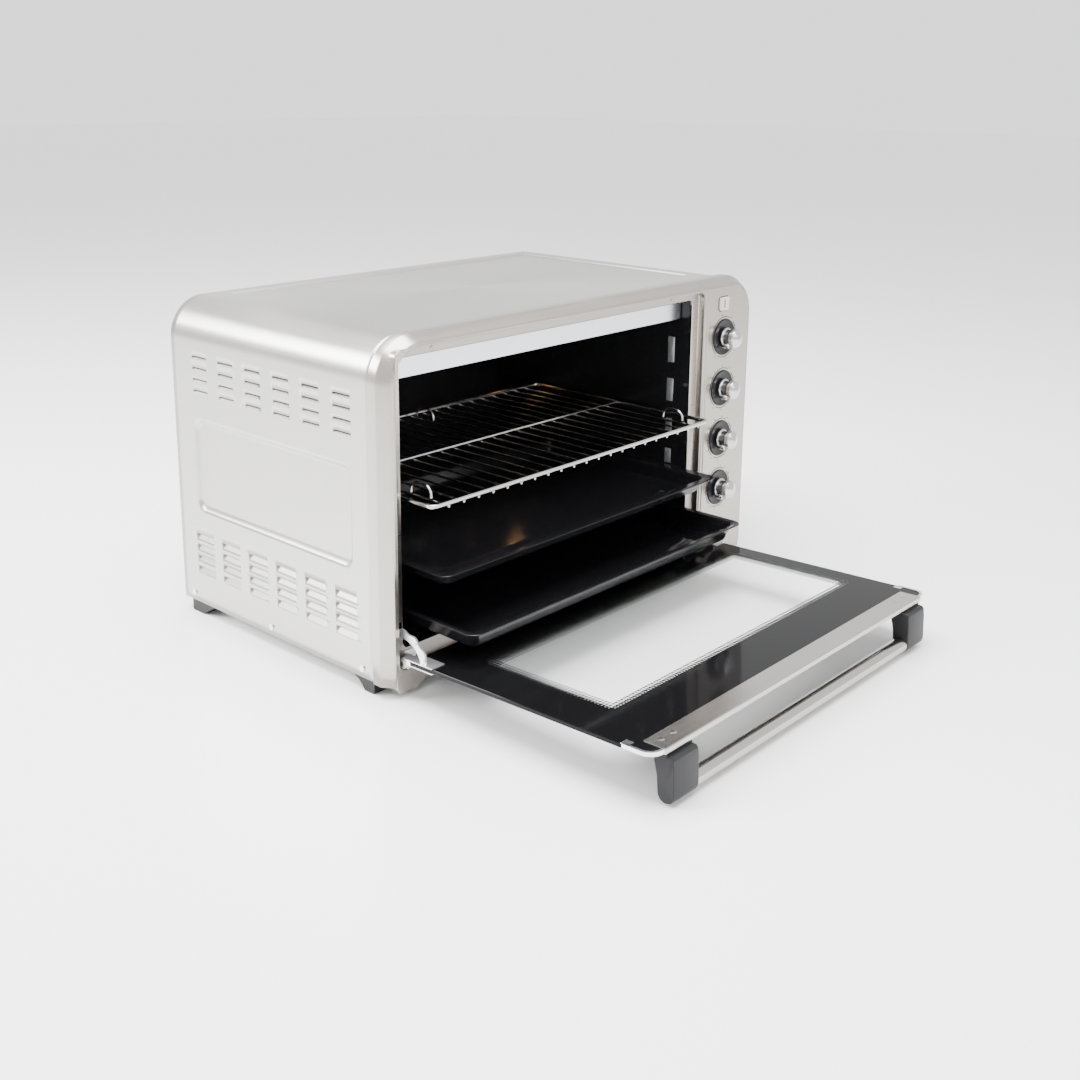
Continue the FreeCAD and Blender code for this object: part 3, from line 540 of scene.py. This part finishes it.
# Where rays from a centre leave a closed outline: the crossing of each ray with its farthest side.
def rayHits(outlineSpots, centre, turn):
    start = outlineSpots - centre
    stop = np.roll(start, -1, axis=0)
    ray = np.stack([np.cos(turn), np.sin(turn)], axis=-1)
    side = stop - start
    cross = ray[:, None, 0] * side[None, :, 1] - ray[:, None, 1] * side[None, :, 0]
    cross = np.where(np.abs(cross) < 1e-12, 1e-12, cross)
    reach = (start[None, :, 0] * side[None, :, 1] - start[None, :, 1] * side[None, :, 0]) / cross
    share = (start[None, :, 0] * ray[:, None, 1] - start[None, :, 1] * ray[:, None, 0]) / cross
    good = (share >= -1e-9) & (share <= 1 + 1e-9) & (reach > 0)
    reach = np.where(good, reach, -1).max(axis=1)
    return centre + ray * reach[:, None]


# Bevel = arch lines stepping in along a profile; plate = straight blend from the outline to the recess,
# ray by ray; recess and mouth = rounded rectangles stepping back
def fascia():
    look = fasciaLook
    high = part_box("front_fascia")[1]
    half, top = high.x, high.z
    deepIn, deepBack = look["bevelIn"], look["bevelDeep"]
    seam = faceY + deepBack + look["lip"]
    crest = look["crest"]
    profile = [(4 * mm, seam), (0.4 * mm, seam), (0, seam - 0.4 * mm), (0, faceY + deepBack + 1 * mm),
               (0.4 * mm, faceY + deepBack - 0.6 * mm)]
    for share in np.linspace(0.12, 0.86, 6):
        profile.append((deepIn * share, faceY + deepBack * (1 - share)))
    profile += [(deepIn - 0.3 * mm, faceY + 0.9 * mm), (deepIn + crest * 0.35, faceY + 0.25 * mm),
                (deepIn + crest, faceY)]
    rows = []
    for inset, y in profile:
        line = archLine(half - inset, top - inset, look["low"], look["radius"] - inset)
        rows.append(np.insert(line, 1, y, axis=-1))
    bevel = np.stack(rows)
    inset = deepIn + crest
    arch = archLine(half - inset, top - inset, look["low"], look["radius"] - inset)
    legSide, legInner, legTop = look["legX"]
    legs = np.array([[half - legSide, look["legLow"]], [legInner, look["legLow"]], [legTop, look["low"]]])
    outer = np.concatenate([arch, legs, (legs * [-1, 1])[::-1]])
    x0, x1, z0, z1 = look["recess"]
    inner = roundedLoop(x0 - 0.8 * mm, x1 + 0.8 * mm, z0 - 0.8 * mm, z1 + 0.8 * mm, 8.8 * mm, 14)
    centre = np.array([(x0 + x1) / 2, (z0 + z1) / 2])
    turn = np.sort(np.concatenate([np.linspace(-math.pi, math.pi, 720, endpoint=False)] +
                                  [np.arctan2(*(line - centre).T[::-1]) for line in (outer, inner)]))
    outside = rayHits(outer, centre, turn)
    inside = rayHits(inner, centre, turn)
    plate = np.stack([outside, outside * 0.985 + inside * 0.015, outside * 0.015 + inside * 0.985, inside])
    plate = np.insert(plate, 1, faceY, axis=-1)
    loops = []
    ledge = faceY + look["recessDeep"]
    slot = np.array(look["staySlot"])
    turns = look["cornerSteps"]
    steps = [("recess", 0.8 * mm, 8 * mm, faceY), ("recess", 0.25 * mm, 8 * mm, faceY + 0.25 * mm),
             ("recess", 0, 8 * mm, faceY + 0.9 * mm), ("recess", 0, 8 * mm, ledge - 0.8 * mm),
             ("recess", -0.8 * mm, 8 * mm, ledge), ("mouth", 0.8 * mm, 6 * mm, ledge),
             ("mouth", 0, 6 * mm, ledge + 0.8 * mm), ("mouth", 0, 6 * mm, ledge + 3 * mm)]
    for opening, grow, radius, y in steps:
        a0, a1, b0, b1 = look[opening]
        loop = roundedLoop(a0 - grow, a1 + grow, b0 - grow, b1 + grow, radius + grow, turns)
        rise = np.stack([np.full(2, a1 + grow), slot], axis=-1)
        fall = np.stack([np.full(2, a0 - grow), slot[::-1]], axis=-1)
        loop = np.concatenate([loop[:turns], rise, loop[turns:3 * turns], fall, loop[3 * turns:]])
        loops.append(np.insert(loop, 1, y, axis=-1))
    well = np.stack(loops)
    solid = np.ones((len(loops) - 1, len(loops[0])), dtype=bool)
    solid[look["ledgeRow"], [turns, 3 * turns + 2]] = False  # the ledge is open where the door's stays run in
    leg = np.concatenate([arch[-1:], legs])
    legSides = []
    for sign in (-1, 1):
        strip = np.stack([np.insert(leg * [sign, 1], 1, y, axis=-1) for y in (faceY, faceY + look["legDeep"])])
        legSides.append((strip, {"flip": sign > 0}))
    crown = faceY - look["ribTall"]
    for x in (x1 + out for out in look["ribs"]):
        rib = [(x, faceY + 0.5 * mm), (x, faceY), (x + 0.5 * mm, crown),
               (x + 1.9 * mm, crown), (x + 2.4 * mm, faceY), (x + 2.4 * mm, faceY + 0.5 * mm)]
        line = np.stack([np.stack([np.full(2, across), np.full(2, y), np.array([z0, z1])], axis=-1)
                         for across, y in rib])
        makePiece("panelRib" + str(round(x / mm)), [(capped(line), {"close": "r"})], "brushed_fascia", "oven")
    shell = makePiece("fasciaShell", [(bevel, {}), (plate, {"close": "c", "flip": True}),
                                      (well, {"close": "c", "flip": True, "keep": solid})] + legSides,
                      "brushed_fascia", "oven", ["front_fascia"], 30)
    addWall(shell, sheetWall)


# Trays: loops of a rounded rectangle stepping in and down from the rim to the floor

trayLooks = {"baking_tray": {"deep": 18 * mm, "rim": 13 * mm, "flare": 5 * mm, "corner": 15 * mm},
             "drip_tray": {"deep": 21 * mm, "rim": 9 * mm, "flare": 6 * mm, "corner": 15 * mm}}


# Pan = rounded rectangles, each with an inset from the rim and a height
def tray(node, look):
    low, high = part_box(node)
    top = high.z
    rim, flare, corner = look["rim"], look["flare"], look["corner"]
    floor = top - look["deep"]
    bottom = rim + flare
    steps = [(0.9 * mm, top - 0.8 * mm), (0.2 * mm, top - 0.7 * mm), (0, top - 0.45 * mm),
             (0.5 * mm, top - 0.1 * mm), (1.5 * mm, top), (rim * 0.45, top), (rim * 0.55, top - 0.25 * mm),
             (rim * 0.8, top - 0.25 * mm), (rim - 1.5 * mm, top - 0.4 * mm), (rim, top - 1.4 * mm),
             (rim + 0.9 * mm, top - 3.4 * mm), (bottom - 1 * mm, floor + 4 * mm),
             (bottom + 0.6 * mm, floor + 1.4 * mm), (bottom + 2.6 * mm, floor + 0.2 * mm),
             (bottom + 5 * mm, floor), (bottom + 26 * mm, floor)]
    steps += [(bottom + reach * mm, floor + 1.2 * mm) for reach in (29, 36, 60)]  # the pressed middle
    rows = []
    for inset, z in steps:
        loop = roundedLoop(low.x + inset, high.x - inset, low.y + inset, high.y - inset,
                           max(corner - inset, 9 * mm), 12)
        rows.append(np.insert(loop, 2, z, axis=-1))
    last = rows[-1]
    centre = np.array([(low.x + high.x) / 2, (low.y + high.y) / 2, last[0, 2]])
    rows.append(centre + (last - centre) * [0.5, 0.0, 1])
    piece = makePiece(node.title().replace("_", "") + "Pan", [(np.stack(rows), {"close": "c", "flip": True})],
                      "black_enamel_tray", node, [node], 50)
    addWall(piece, sheetWall)


# Rack: a frame rod, a cross rod, front-to-back wires and three stop hooks

rackLook = {"rod": 2.5 * mm, "wire": 1.35 * mm, "wires": 21, "corner": 6 * mm,
            "hooks": ((-262 * mm, 12 * mm), (166 * mm, 12 * mm), (-48 * mm, 236 * mm)),
            "hookHalf": 15 * mm, "hookTall": 13 * mm}


# Rods = circles carried along lines; hook height = height x (sine of a half turn) to the power 0.7
def wireRack():
    look = rackLook
    low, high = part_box("wire_rack")
    z = high.z - look["rod"]
    r = look["rod"]
    x0, x1, y0, y1 = low.x + r, high.x - r, low.y + r, high.y - r
    loop = roundedLoop(x0, x1, y0, y1, look["corner"], 10)
    grids = [(tubeGrid(np.insert(loop, 2, z, axis=-1), r, 14, True), {"close": "rc"})]
    drop = r + look["wire"] * 0.4
    middle = np.array([[x0, (y0 + y1) / 2, z], [x1, (y0 + y1) / 2, z]])
    grids.append((tubeGrid(middle, look["wire"] * 1.15, 12), {"close": "c"}))
    for x in np.linspace(x0, x1, look["wires"] + 2)[1:-1]:
        run = np.array([[x, y0 - r * 0.5, z - drop], [x, y1, z - drop]])
        grids.append((tubeGrid(run, look["wire"], 10), {"close": "c"}))
    for x, y in look["hooks"]:
        turn = np.linspace(0, math.pi, 15)
        arch = np.stack([np.full(15, x), faceY + y - look["hookHalf"] * np.cos(turn),
                         z + look["hookTall"] * np.sin(turn) ** 0.7], axis=-1)
        grids.append((tubeGrid(arch, look["wire"] * 1.1, 10, up=(1, 0, 0)), {"close": "c"}))
    makePiece("rackWires", grids, "chromed_wire", "rack", ["wire_rack"], 60)


# Door, drawn in its own run (s along the open door from the hinge, v square to it) and then tilted

doorLook = {"tilt": 2.0, "x": (-303 * mm, 207 * mm), "long": 324.5 * mm, "glass": (2.4 * mm, 6.9 * mm),
            "corner": 14 * mm, "back": 14 * mm, "trimWide": 25 * mm, "edge": 1.1 * mm,
            "underShare": 0.8, "trimShort": 3 * mm, "air": 0.02 * mm, "skin": 0.6 * mm,
            "glassShort": 1.5 * mm,
            "studs": (-274 * mm, -256 * mm, 160 * mm, 178 * mm), "studIn": 14.5 * mm, "studRadius": 3.2 * mm,
            "clipLong": 22 * mm, "clipWide": 2.6 * mm, "clipPast": 4 * mm, "tab": (24 * mm, 15 * mm),
            "tabIn": (0.5 * mm, 9 * mm)}


# Turns (x, s, v) points by the door's tilt: y = face - s cosine + v sine, z = hinge + s sine + v cosine
def onDoor(spots):
    tilt = math.radians(doorLook["tilt"])
    s, v = spots[..., 1], spots[..., 2]
    return np.stack([spots[..., 0], faceY - s * math.cos(tilt) + v * math.sin(tilt),
                     hingeZ + s * math.sin(tilt) + v * math.cos(tilt)], axis=-1)


# Pane = rounded rectangles stepping up through the glass with a softened edge, closed at both faces
def doorGlass():
    look = doorLook
    x0, x1 = look["x"]
    v0, v1 = look["glass"]
    s0, s1 = look["back"], look["long"] - look["glassShort"]
    rows = []
    soft = look["skin"]
    for inset, v in ((soft, v0), (0, v0 + soft), (0, v1 - soft), (soft, v1)):
        loop = roundedLoop(x0 + inset, x1 - inset, s0 + inset, s1 - inset, look["corner"] - inset, 12)
        rows.append(np.insert(loop, 2, v, axis=-1))

    def lid(row):
        centre = np.array([(x0 + x1) / 2, (s0 + s1) / 2, row[0, 2]])
        return [centre + (row - centre) * [0.6, 0.0, 1]]

    rows = lid(rows[0]) + rows + lid(rows[-1])
    makePiece("doorPane", [(onDoor(np.stack(rows)), {"close": "c"})], "door_glass", "door",
              ["door_glass"], 25)


# Trim = a folded section carried along the door's free edge; corner clips = quarter circles round its corners
def doorTrim():
    look = doorLook
    x0, x1 = look["x"]
    v0, v1 = look["glass"]
    s1 = look["long"]
    r = look["corner"]
    skin, clip, past = look["skin"], look["clipWide"], look["clipPast"]

    wide, under = look["trimWide"], look["trimWide"] * look["underShare"]
    section = [(s1 - wide, v1 + look["air"]), (s1 - wide, v1 + skin), (s1 - 1 * mm, v1 + skin), (s1, v1),
               (s1, v0), (s1 - 1 * mm, v0 - skin), (s1 - under, v0 - skin), (s1 - under, v0)]
    ends = x0 + r + look["trimShort"], x1 - r - look["trimShort"]
    rows = np.stack([np.array([[x, s, v] for x in ends]) for s, v in section])
    makePiece("doorEdgeTrim", [(onDoor(capped(rows)), {"close": "r"})],
              "brushed_trim", "door", ["door_trim"], 25)
    studs = []
    stud = look["studRadius"]
    head = [(0, -0.4 * mm), (stud, -0.4 * mm), (stud, 0.12 * mm),
            (stud - 0.5 * mm, 0.22 * mm), (0, 0.24 * mm)]
    for x in look["studs"]:
        spot = (x, s1 - look["studIn"], v1 + skin)
        studs.append((onDoor(turnedGrid(head, spot, (0, 0, 1), 24)), {"close": "c"}))
    makePiece("handleStuds", studs, "brushed_trim", "door", ["handle_screws"])
    for side, name in ((-1, "left"), (1, "right")):
        edge = x0 if side < 0 else x1
        centre = edge - side * r
        turn = np.radians(np.linspace(0, 90, 14))
        out = r + look["edge"] * 0.4
        glassEnd = s1 - look["glassShort"]
        start = s1 - r - look["clipLong"]

        def clipLine(reach, firstX):
            xs = np.concatenate([[firstX], centre + side * reach * np.cos(turn), [centre - side * past]])
            return xs, np.concatenate([[start], glassEnd - r + reach * np.sin(turn), [glassEnd + reach - r]])

        outer = clipLine(out, edge + side * 0.4 * mm)
        inner = clipLine(r - clip, edge - side * clip)
        rows = []
        for (xs, ss), v in ((inner, v1 + look["air"]), (inner, v1 + skin), (outer, v1 + skin),
                            (outer, v0 + 1 * mm), (inner, v0 + 1 * mm)):
            rows.append(np.stack([xs, ss, np.full(len(xs), v)], axis=-1))
        clipGrid = onDoor(capped(np.stack(rows)))
        makePiece("cornerClip" + name.title(), [(clipGrid, {"close": "r", "flip": side > 0})],
                  "bright_screw", "door", ["door_corner_clip_" + name], 25)
        tabX = sorted(edge - side * reach for reach in look["tabIn"])
        tabS = [s1 - r - reach for reach in look["tab"]]
        tab = [(tabS[0], v1), (tabS[0], v1 + skin), (tabS[1], v1 + skin), (tabS[1], v1)]
        rows = np.stack([np.array([[tabX[0], s, v], [tabX[1], s, v]]) for s, v in tab])
        makePiece("cornerTab" + name.title(), [(onDoor(capped(rows)), {"close": "r"})],
                  "bright_screw", "door")


# Hinge arms: a scalloped plate on an arc about the hinge, riveted to the door's channel

armLook = {"inner": 27.5 * mm, "outer": 36 * mm, "scallop": 1.2 * mm, "thick": 2.2 * mm, "from": 8, "to": 100,
           "teeth": 12, "rivet": 3 * mm, "rivetTurns": (0.35, 0.95), "rivetOut": 32 * mm}


# Outer edge's radius = outer + scallop x cosine of (teeth x turn); the inner edge is a plain arc
def hingeArms():
    look = armLook
    turn = np.radians(np.linspace(look["from"], look["to"], 60))
    outer = look["outer"] + look["scallop"] * np.cos(turn * look["teeth"])
    for name in ("left", "right"):
        low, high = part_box("door_stay_" + name)
        middle = (low.x + high.x) / 2
        rows = []
        for radius, x in ((look["inner"], -0.5), (outer, -0.5), (outer, 0.5), (look["inner"], 0.5)):
            rows.append(np.stack([np.full(60, middle + x * look["thick"]), radius * np.cos(turn),
                                  radius * np.sin(turn)], axis=-1))
        grids = [(onDoor(capped(np.stack(rows))), {"close": "r"})]
        wide = look["rivet"]
        head = [(0, -2.2 * mm), (wide * 0.7, -2 * mm), (wide, -1.3 * mm),
                (wide, 1.3 * mm), (wide * 0.7, 2 * mm), (0, 2.2 * mm)]
        for angle in look["rivetTurns"]:
            spot = (middle, math.cos(angle) * look["rivetOut"], math.sin(angle) * look["rivetOut"])
            grids.append((onDoor(turnedGrid(head, spot, (1, 0, 0), 24)), {"close": "c"}))
        makePiece("hingeArm" + name.title(), grids, "zinc_steel", "door", ["door_stay_" + name])


# Handle: a polished tube between two moulded brackets

handleLook = {"s": 322 * mm, "drop": 38 * mm, "radius": 8.5 * mm, "wide": 38 * mm, "inset": 19 * mm,
              "end": 9.3 * mm, "soft": 1.6 * mm, "topGap": 0.8 * mm, "overlap": 1 * mm,
              "back": ((-13, -8), (-10, -22)), "front": ((0, -12), (-0.6, -4), (-2.4, -1.2))}  # millimetres


# Bracket = a side outline shrunk a little at both faces; tube = a circle carried along a straight line
def handle():
    look = handleLook
    x0, x1 = doorLook["x"]
    top = doorLook["glass"][0] - look["topGap"]
    s, drop, end = look["s"], look["drop"], look["end"]
    around = arcSpots(s, -drop, end, -180, 0, 20)
    back = np.array(look["back"]) * mm + [s, 0]
    front = np.array(look["front"]) * mm + [s + end, 0]
    out = np.concatenate([[[s - 14 * mm, top]], back, around, front,
                          [[s + 1.8 * mm, -1.0 * mm], [s + 1.8 * mm, top]]])
    centre = out.mean(axis=0)
    starts = x0 + look["inset"], x1 - look["inset"] - look["wide"]
    soft = look["soft"]
    for name, start in zip(("left", "right"), starts):
        stop = start + look["wide"]
        rows = []
        for x, shrink in ((start, 0), (start, 0.9), (start + soft * 0.3, 0.97), (start + soft, 1.0),
                          (stop - soft, 1.0), (stop - soft * 0.3, 0.97), (stop, 0.9), (stop, 0)):
            ring = centre + (out - centre) * shrink
            rows.append(np.insert(ring, 0, x, axis=-1))
        makePiece("handleBracket" + name.title(), [(onDoor(np.stack(rows)), {"close": "c"})],
                  "charcoal_plastic", "door", ["handle_bracket_" + name], 28)
    xs = np.linspace(starts[0] + look["wide"] - look["overlap"], starts[1] + look["overlap"], 8)
    path = np.stack([xs, np.full(8, s), np.full(8, -drop)], axis=-1)
    makePiece("handleTube", [(onDoor(tubeGrid(path, look["radius"], 40)), {"close": "c", "flip": True})],
              "brushed_trim", "door", ["handle_bar"], 40)


# Controls: bezels, knobs with a spun cone and a finger tab, printed rings and marks

knobLook = {"bezel": 23.6 * mm, "barrel": 10.4 * mm, "cap": 12 * mm, "reach": 24.6 * mm,
            "ring": 26.6 * mm, "ringWide": 0.9 * mm, "ticks": 9, "tickWide": 0.35 * mm,
            "tick": (1.2 * mm, 3.6 * mm), "arcs": ((-118, 42), (62, 230)), "tickTurns": (-125, 235),
            "printOut": 0.12 * mm, "hole": 4.5 * mm,
            "tabTurn": 235, "tabOut": 12.2, "tabLong": 3.6, "tabWide": 2.6,  # millimetres from here
            "tabSteps": ((3.4, 0), (3.4, 0.9), (4, 1), (12.6, 0.85), (13.6, 0.7), (13.6, 0))}


# Bezel and knob = profiles turned round the dial's axis; finger tab = a squared-off circle,
# whose two reaches are half size x the root of cosine and of sine, with their signs
def controls():
    look = knobLook
    forward = (0, -1, 0)
    for name, (cx, cz) in zip(dialNames, dialCentres):
        centre = (cx, faceY, cz)
        b, c, k = look["bezel"], look["cap"], look["barrel"]
        dish = [(b, -0.2 * mm), (b, 0.8 * mm), (b - 0.8 * mm, 1.5 * mm), (b - 2 * mm, 1.6 * mm),
                (b - 4 * mm, 1.1 * mm), (b - 8 * mm, 0.8 * mm), (k, 0.7 * mm), (look["hole"], 0.7 * mm),
                (look["hole"], -0.2 * mm)]
        makePiece(name + "Dish", [(turnedGrid(dish, centre, forward, 72), {"close": "rc", "flip": True})],
                  "dark_bezel", "oven", [name + "_bezel"], 35)
        top = look["reach"]
        body = [(0, 2.3 * mm), (k + 1.4 * mm, 2.3 * mm), (k + 2 * mm, 3 * mm), (k + 2 * mm, 4.6 * mm),
                (k + 1.2 * mm, 5.4 * mm), (k, 5.8 * mm), (k - 0.5 * mm, 10 * mm), (k, 13.6 * mm),
                (c - 0.7 * mm, 14.6 * mm), (c, 15.4 * mm), (c, 19.6 * mm), (c - 0.8 * mm, 20.8 * mm),
                (c - 2.2 * mm, 21.4 * mm), (c * 0.5, 23.2 * mm), (1.2 * mm, top - 0.1 * mm), (0, top)]
        tab = []
        turn = math.radians(look["tabTurn"])
        outward = np.array([math.cos(turn), 0, math.sin(turn)])
        across = np.array([-math.sin(turn), 0, math.cos(turn)])
        spans = np.linspace(0, 2 * math.pi, 16, endpoint=False)
        long, wide = (np.sign(wave) * np.abs(wave) ** 0.5 * reach for wave, reach in (
            (np.cos(spans), look["tabLong"]), (np.sin(spans), look["tabWide"])))
        for depth, size in look["tabSteps"]:
            ring = (long * size)[:, None] * outward + (wide * size)[:, None] * across
            tab.append(np.array([cx, faceY - depth * mm, cz]) + outward * look["tabOut"] * mm + ring * mm)
        makePiece(name + "KnobTurned", [(turnedGrid(body, centre, forward, 72), {"close": "c", "flip": True}),
                                        (np.stack(tab), {"close": "c"})],
                  "knob_chrome", name + "_dial", [name + "_knob"], 30)


# Thin printed arcs and marks that stand a hair off the panel.
def dialPrint():
    look = knobLook
    grids = []
    r, wide, level = look["ring"], look["ringWide"], faceY - look["printOut"]
    for number, (cx, cz) in enumerate(dialCentres):
        for start, stop in look["arcs"]:
            inner = arcSpots(cx, cz, r - wide, start, stop, 60)
            outer = arcSpots(cx, cz, r, start, stop, 60)
            grids.append((np.insert(np.stack([inner, outer]), 1, level, axis=-1), {"flip": True}))
        for turn in np.radians(np.linspace(*look["tickTurns"], look["ticks"] + number * 2)[:-1]):
            ray = np.array([math.cos(turn), math.sin(turn)])
            side = np.array([-ray[1], ray[0]]) * look["tickWide"]
            near, far = (ray * (r + out) for out in look["tick"])
            quad = np.array([[near - side, near + side], [far - side, far + side]]) + [cx, cz]
            grids.append((np.insert(quad, 1, level, axis=-1), {"flip": True}))
    low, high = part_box("pilot_lamp")
    outer = roundedLoop(low.x - 1.2 * mm, high.x + 1.2 * mm, low.z - 1.2 * mm, high.z + 1.2 * mm, 4.2 * mm)
    inner = roundedLoop(low.x - 0.1 * mm, high.x + 0.1 * mm, low.z - 0.1 * mm, high.z + 0.1 * mm, 3.1 * mm)
    grids.append((np.insert(np.stack([outer, inner]), 1, level, axis=-1), {"close": "c"}))
    slit = (low.x + high.x) / 2 + np.array([-0.9, 0.9]) * mm
    grids.append((np.stack([np.stack([slit, np.full(2, low.y - 0.15 * mm), np.full(2, z)], axis=-1)
                            for z in (low.z + 3.5 * mm, high.z - 3.5 * mm)]), {}))
    addWall(makePiece("dialMarks", grids, "dark_bezel", "oven"), 0.1 * mm)


tabLook = {"y": 8 * mm, "wide": 10 * mm, "corner": 1.5 * mm,
           "steps": ((0.1, 0), (0.1, 1), (0.9, 1), (1.3, 0.9), (1.3, 0)),
           "spans": ((272, 305), (221, 251), (180, 199), (139, 159))}


# Upright pressed tabs that show bright on the cavity's side walls.
def railTabs():
    look = tabLook
    left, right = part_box("shelf_rails_left")[0].x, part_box("shelf_rails_right")[1].x
    grids = []
    for wall, way in ((left, 1), (right, -1)):
        for z0, z1 in look["spans"]:
            loop = roundedLoop(look["y"], look["y"] + look["wide"], z0 * mm, z1 * mm, look["corner"], 4)
            middle = loop.mean(axis=0)
            rows = []
            for out, shrink in look["steps"]:
                ring = middle + (loop - middle) * shrink
                rows.append(np.insert(ring, 0, wall + way * out * mm, axis=-1))
            grids.append((np.stack(rows), {"close": "c", "flip": way > 0}))
    makePiece("railTabs", grids, "galvanised_steel", "oven")


# Two studs turned round the front-to-back axis, at the ends of the strip they stand for
def bumpers():
    low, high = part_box("door_bumpers")
    grids = [(turnedGrid([(0, 0), (2.2 * mm, 0), (2.2 * mm, 0.6 * mm), (1.6 * mm, 1 * mm), (0, 1 * mm)],
                         (x, high.y, (low.z + high.z) / 2), (0, -1, 0), 20), {"close": "c", "flip": True})
             for x in (low.x + 3 * mm, high.x - 3 * mm)]
    makePiece("bumperStuds", grids, "brushed_fascia", "oven", ["door_bumpers"])


casing()
fascia()
bumpers()
railTabs()
for node, look in trayLooks.items():
    tray(node, look)
wireRack()
doorGlass()
doorTrim()
hingeArms()
handle()
controls()
dialPrint()


# Floor, light and camera

stageLook = {"floor": (0.93, 0.93, 0.93), "floorRough": 0.28, "floorSide": 14.0,
             "world": 1.7, "keyWatts": 170, "sideWatts": 170, "frontWatts": 16,
             "top": ((-0.3, 0.1, 2.0), (0, 0.1, 0.2), 2.2, 1.6),  # place, target, width and height
             "side": ((-2.1, 1.95, 1.6), (-0.3, 0.2, 0.15), 1.7, 1.1),
             "front": ((0.6, -2.4, 1.1), (0.1, 0, 0.2), 1.6, 1.0)}


# Floor sheet, even white world and three soft panel lights
def stage():
    look = stageLook
    side = look["floorSide"]
    mesh = bpy.data.meshes.new("studioFloor")
    corners = [(-side, -side, 0), (side, -side, 0), (side, side, 0), (-side, side, 0)]
    mesh.from_pydata(corners, [], [(0, 1, 2, 3)])
    floor = bpy.data.objects.new("studioFloor", mesh)
    bpy.context.scene.collection.objects.link(floor)
    paint = Paint("paperWhite", Roughness=look["floorRough"])
    paint.set("Base Color", paint.blend(paint.noise((3, 3, 3), 1.0, 2.0), look["floor"],
                                        tuple(0.985 * c for c in look["floor"])))
    mesh.materials.append(paint.material)
    world = bpy.data.worlds.new("studio")
    world.use_nodes = True
    world.node_tree.nodes["Background"].inputs["Color"].default_value = (1, 1, 1, 1)
    world.node_tree.nodes["Background"].inputs["Strength"].default_value = look["world"]
    bpy.context.scene.world = world

    def panelLight(name, place, target, width, height, watts):
        lamp = bpy.data.lights.new(name, "AREA")
        lamp.shape = "RECTANGLE"
        lamp.size, lamp.size_y = width, height
        lamp.energy = watts
        holder = bpy.data.objects.new(name, lamp)
        bpy.context.scene.collection.objects.link(holder)
        holder.location = place
        aim = np.array(target) - np.array(place)
        holder.rotation_euler = (math.atan2(math.hypot(aim[0], aim[1]), -aim[2]), 0,
                                 math.atan2(aim[1], aim[0]) - math.pi / 2)

    panelLight("topLight", *look["top"], look["keyWatts"])
    panelLight("sideLight", *look["side"], look["sideWatts"])
    panelLight("frontLight", *look["front"], look["frontWatts"])


cameraLook = {"place": (-1.13421, -0.93856, 0.62586), "yaw": -47.897, "pitch": -13.865, "roll": 0.552,
              "lens": 43.98, "shift": -0.1296, "sensor": 36}


# Camera axes from yaw, pitch and roll, and its place measured from the fascia's face
def camera():
    look = cameraLook
    yaw, pitch, roll = (math.radians(look[key]) for key in ("yaw", "pitch", "roll"))
    ahead = np.array([math.sin(-yaw) * math.cos(pitch), math.cos(-yaw) * math.cos(pitch), math.sin(pitch)])
    level = np.cross(ahead, [0, 0, 1])
    level /= np.linalg.norm(level)
    upright = np.cross(level, ahead)
    right = level * math.cos(roll) + upright * math.sin(roll)
    up = upright * math.cos(roll) - level * math.sin(roll)
    lensData = bpy.data.cameras.new("photoCamera")
    lensData.lens = look["lens"]
    lensData.sensor_width = look["sensor"]
    lensData.shift_y = look["shift"]
    holder = bpy.data.objects.new("photoCamera", lensData)
    bpy.context.scene.collection.objects.link(holder)
    place = np.array(look["place"]) + [0, faceY, 0]
    matrix = np.eye(4)
    matrix[:3, 0], matrix[:3, 1], matrix[:3, 2], matrix[:3, 3] = right, up, -ahead, place
    holder.matrix_world = Matrix(matrix.tolist())
    bpy.context.scene.camera = holder


stage()
camera()
print("stage ready")
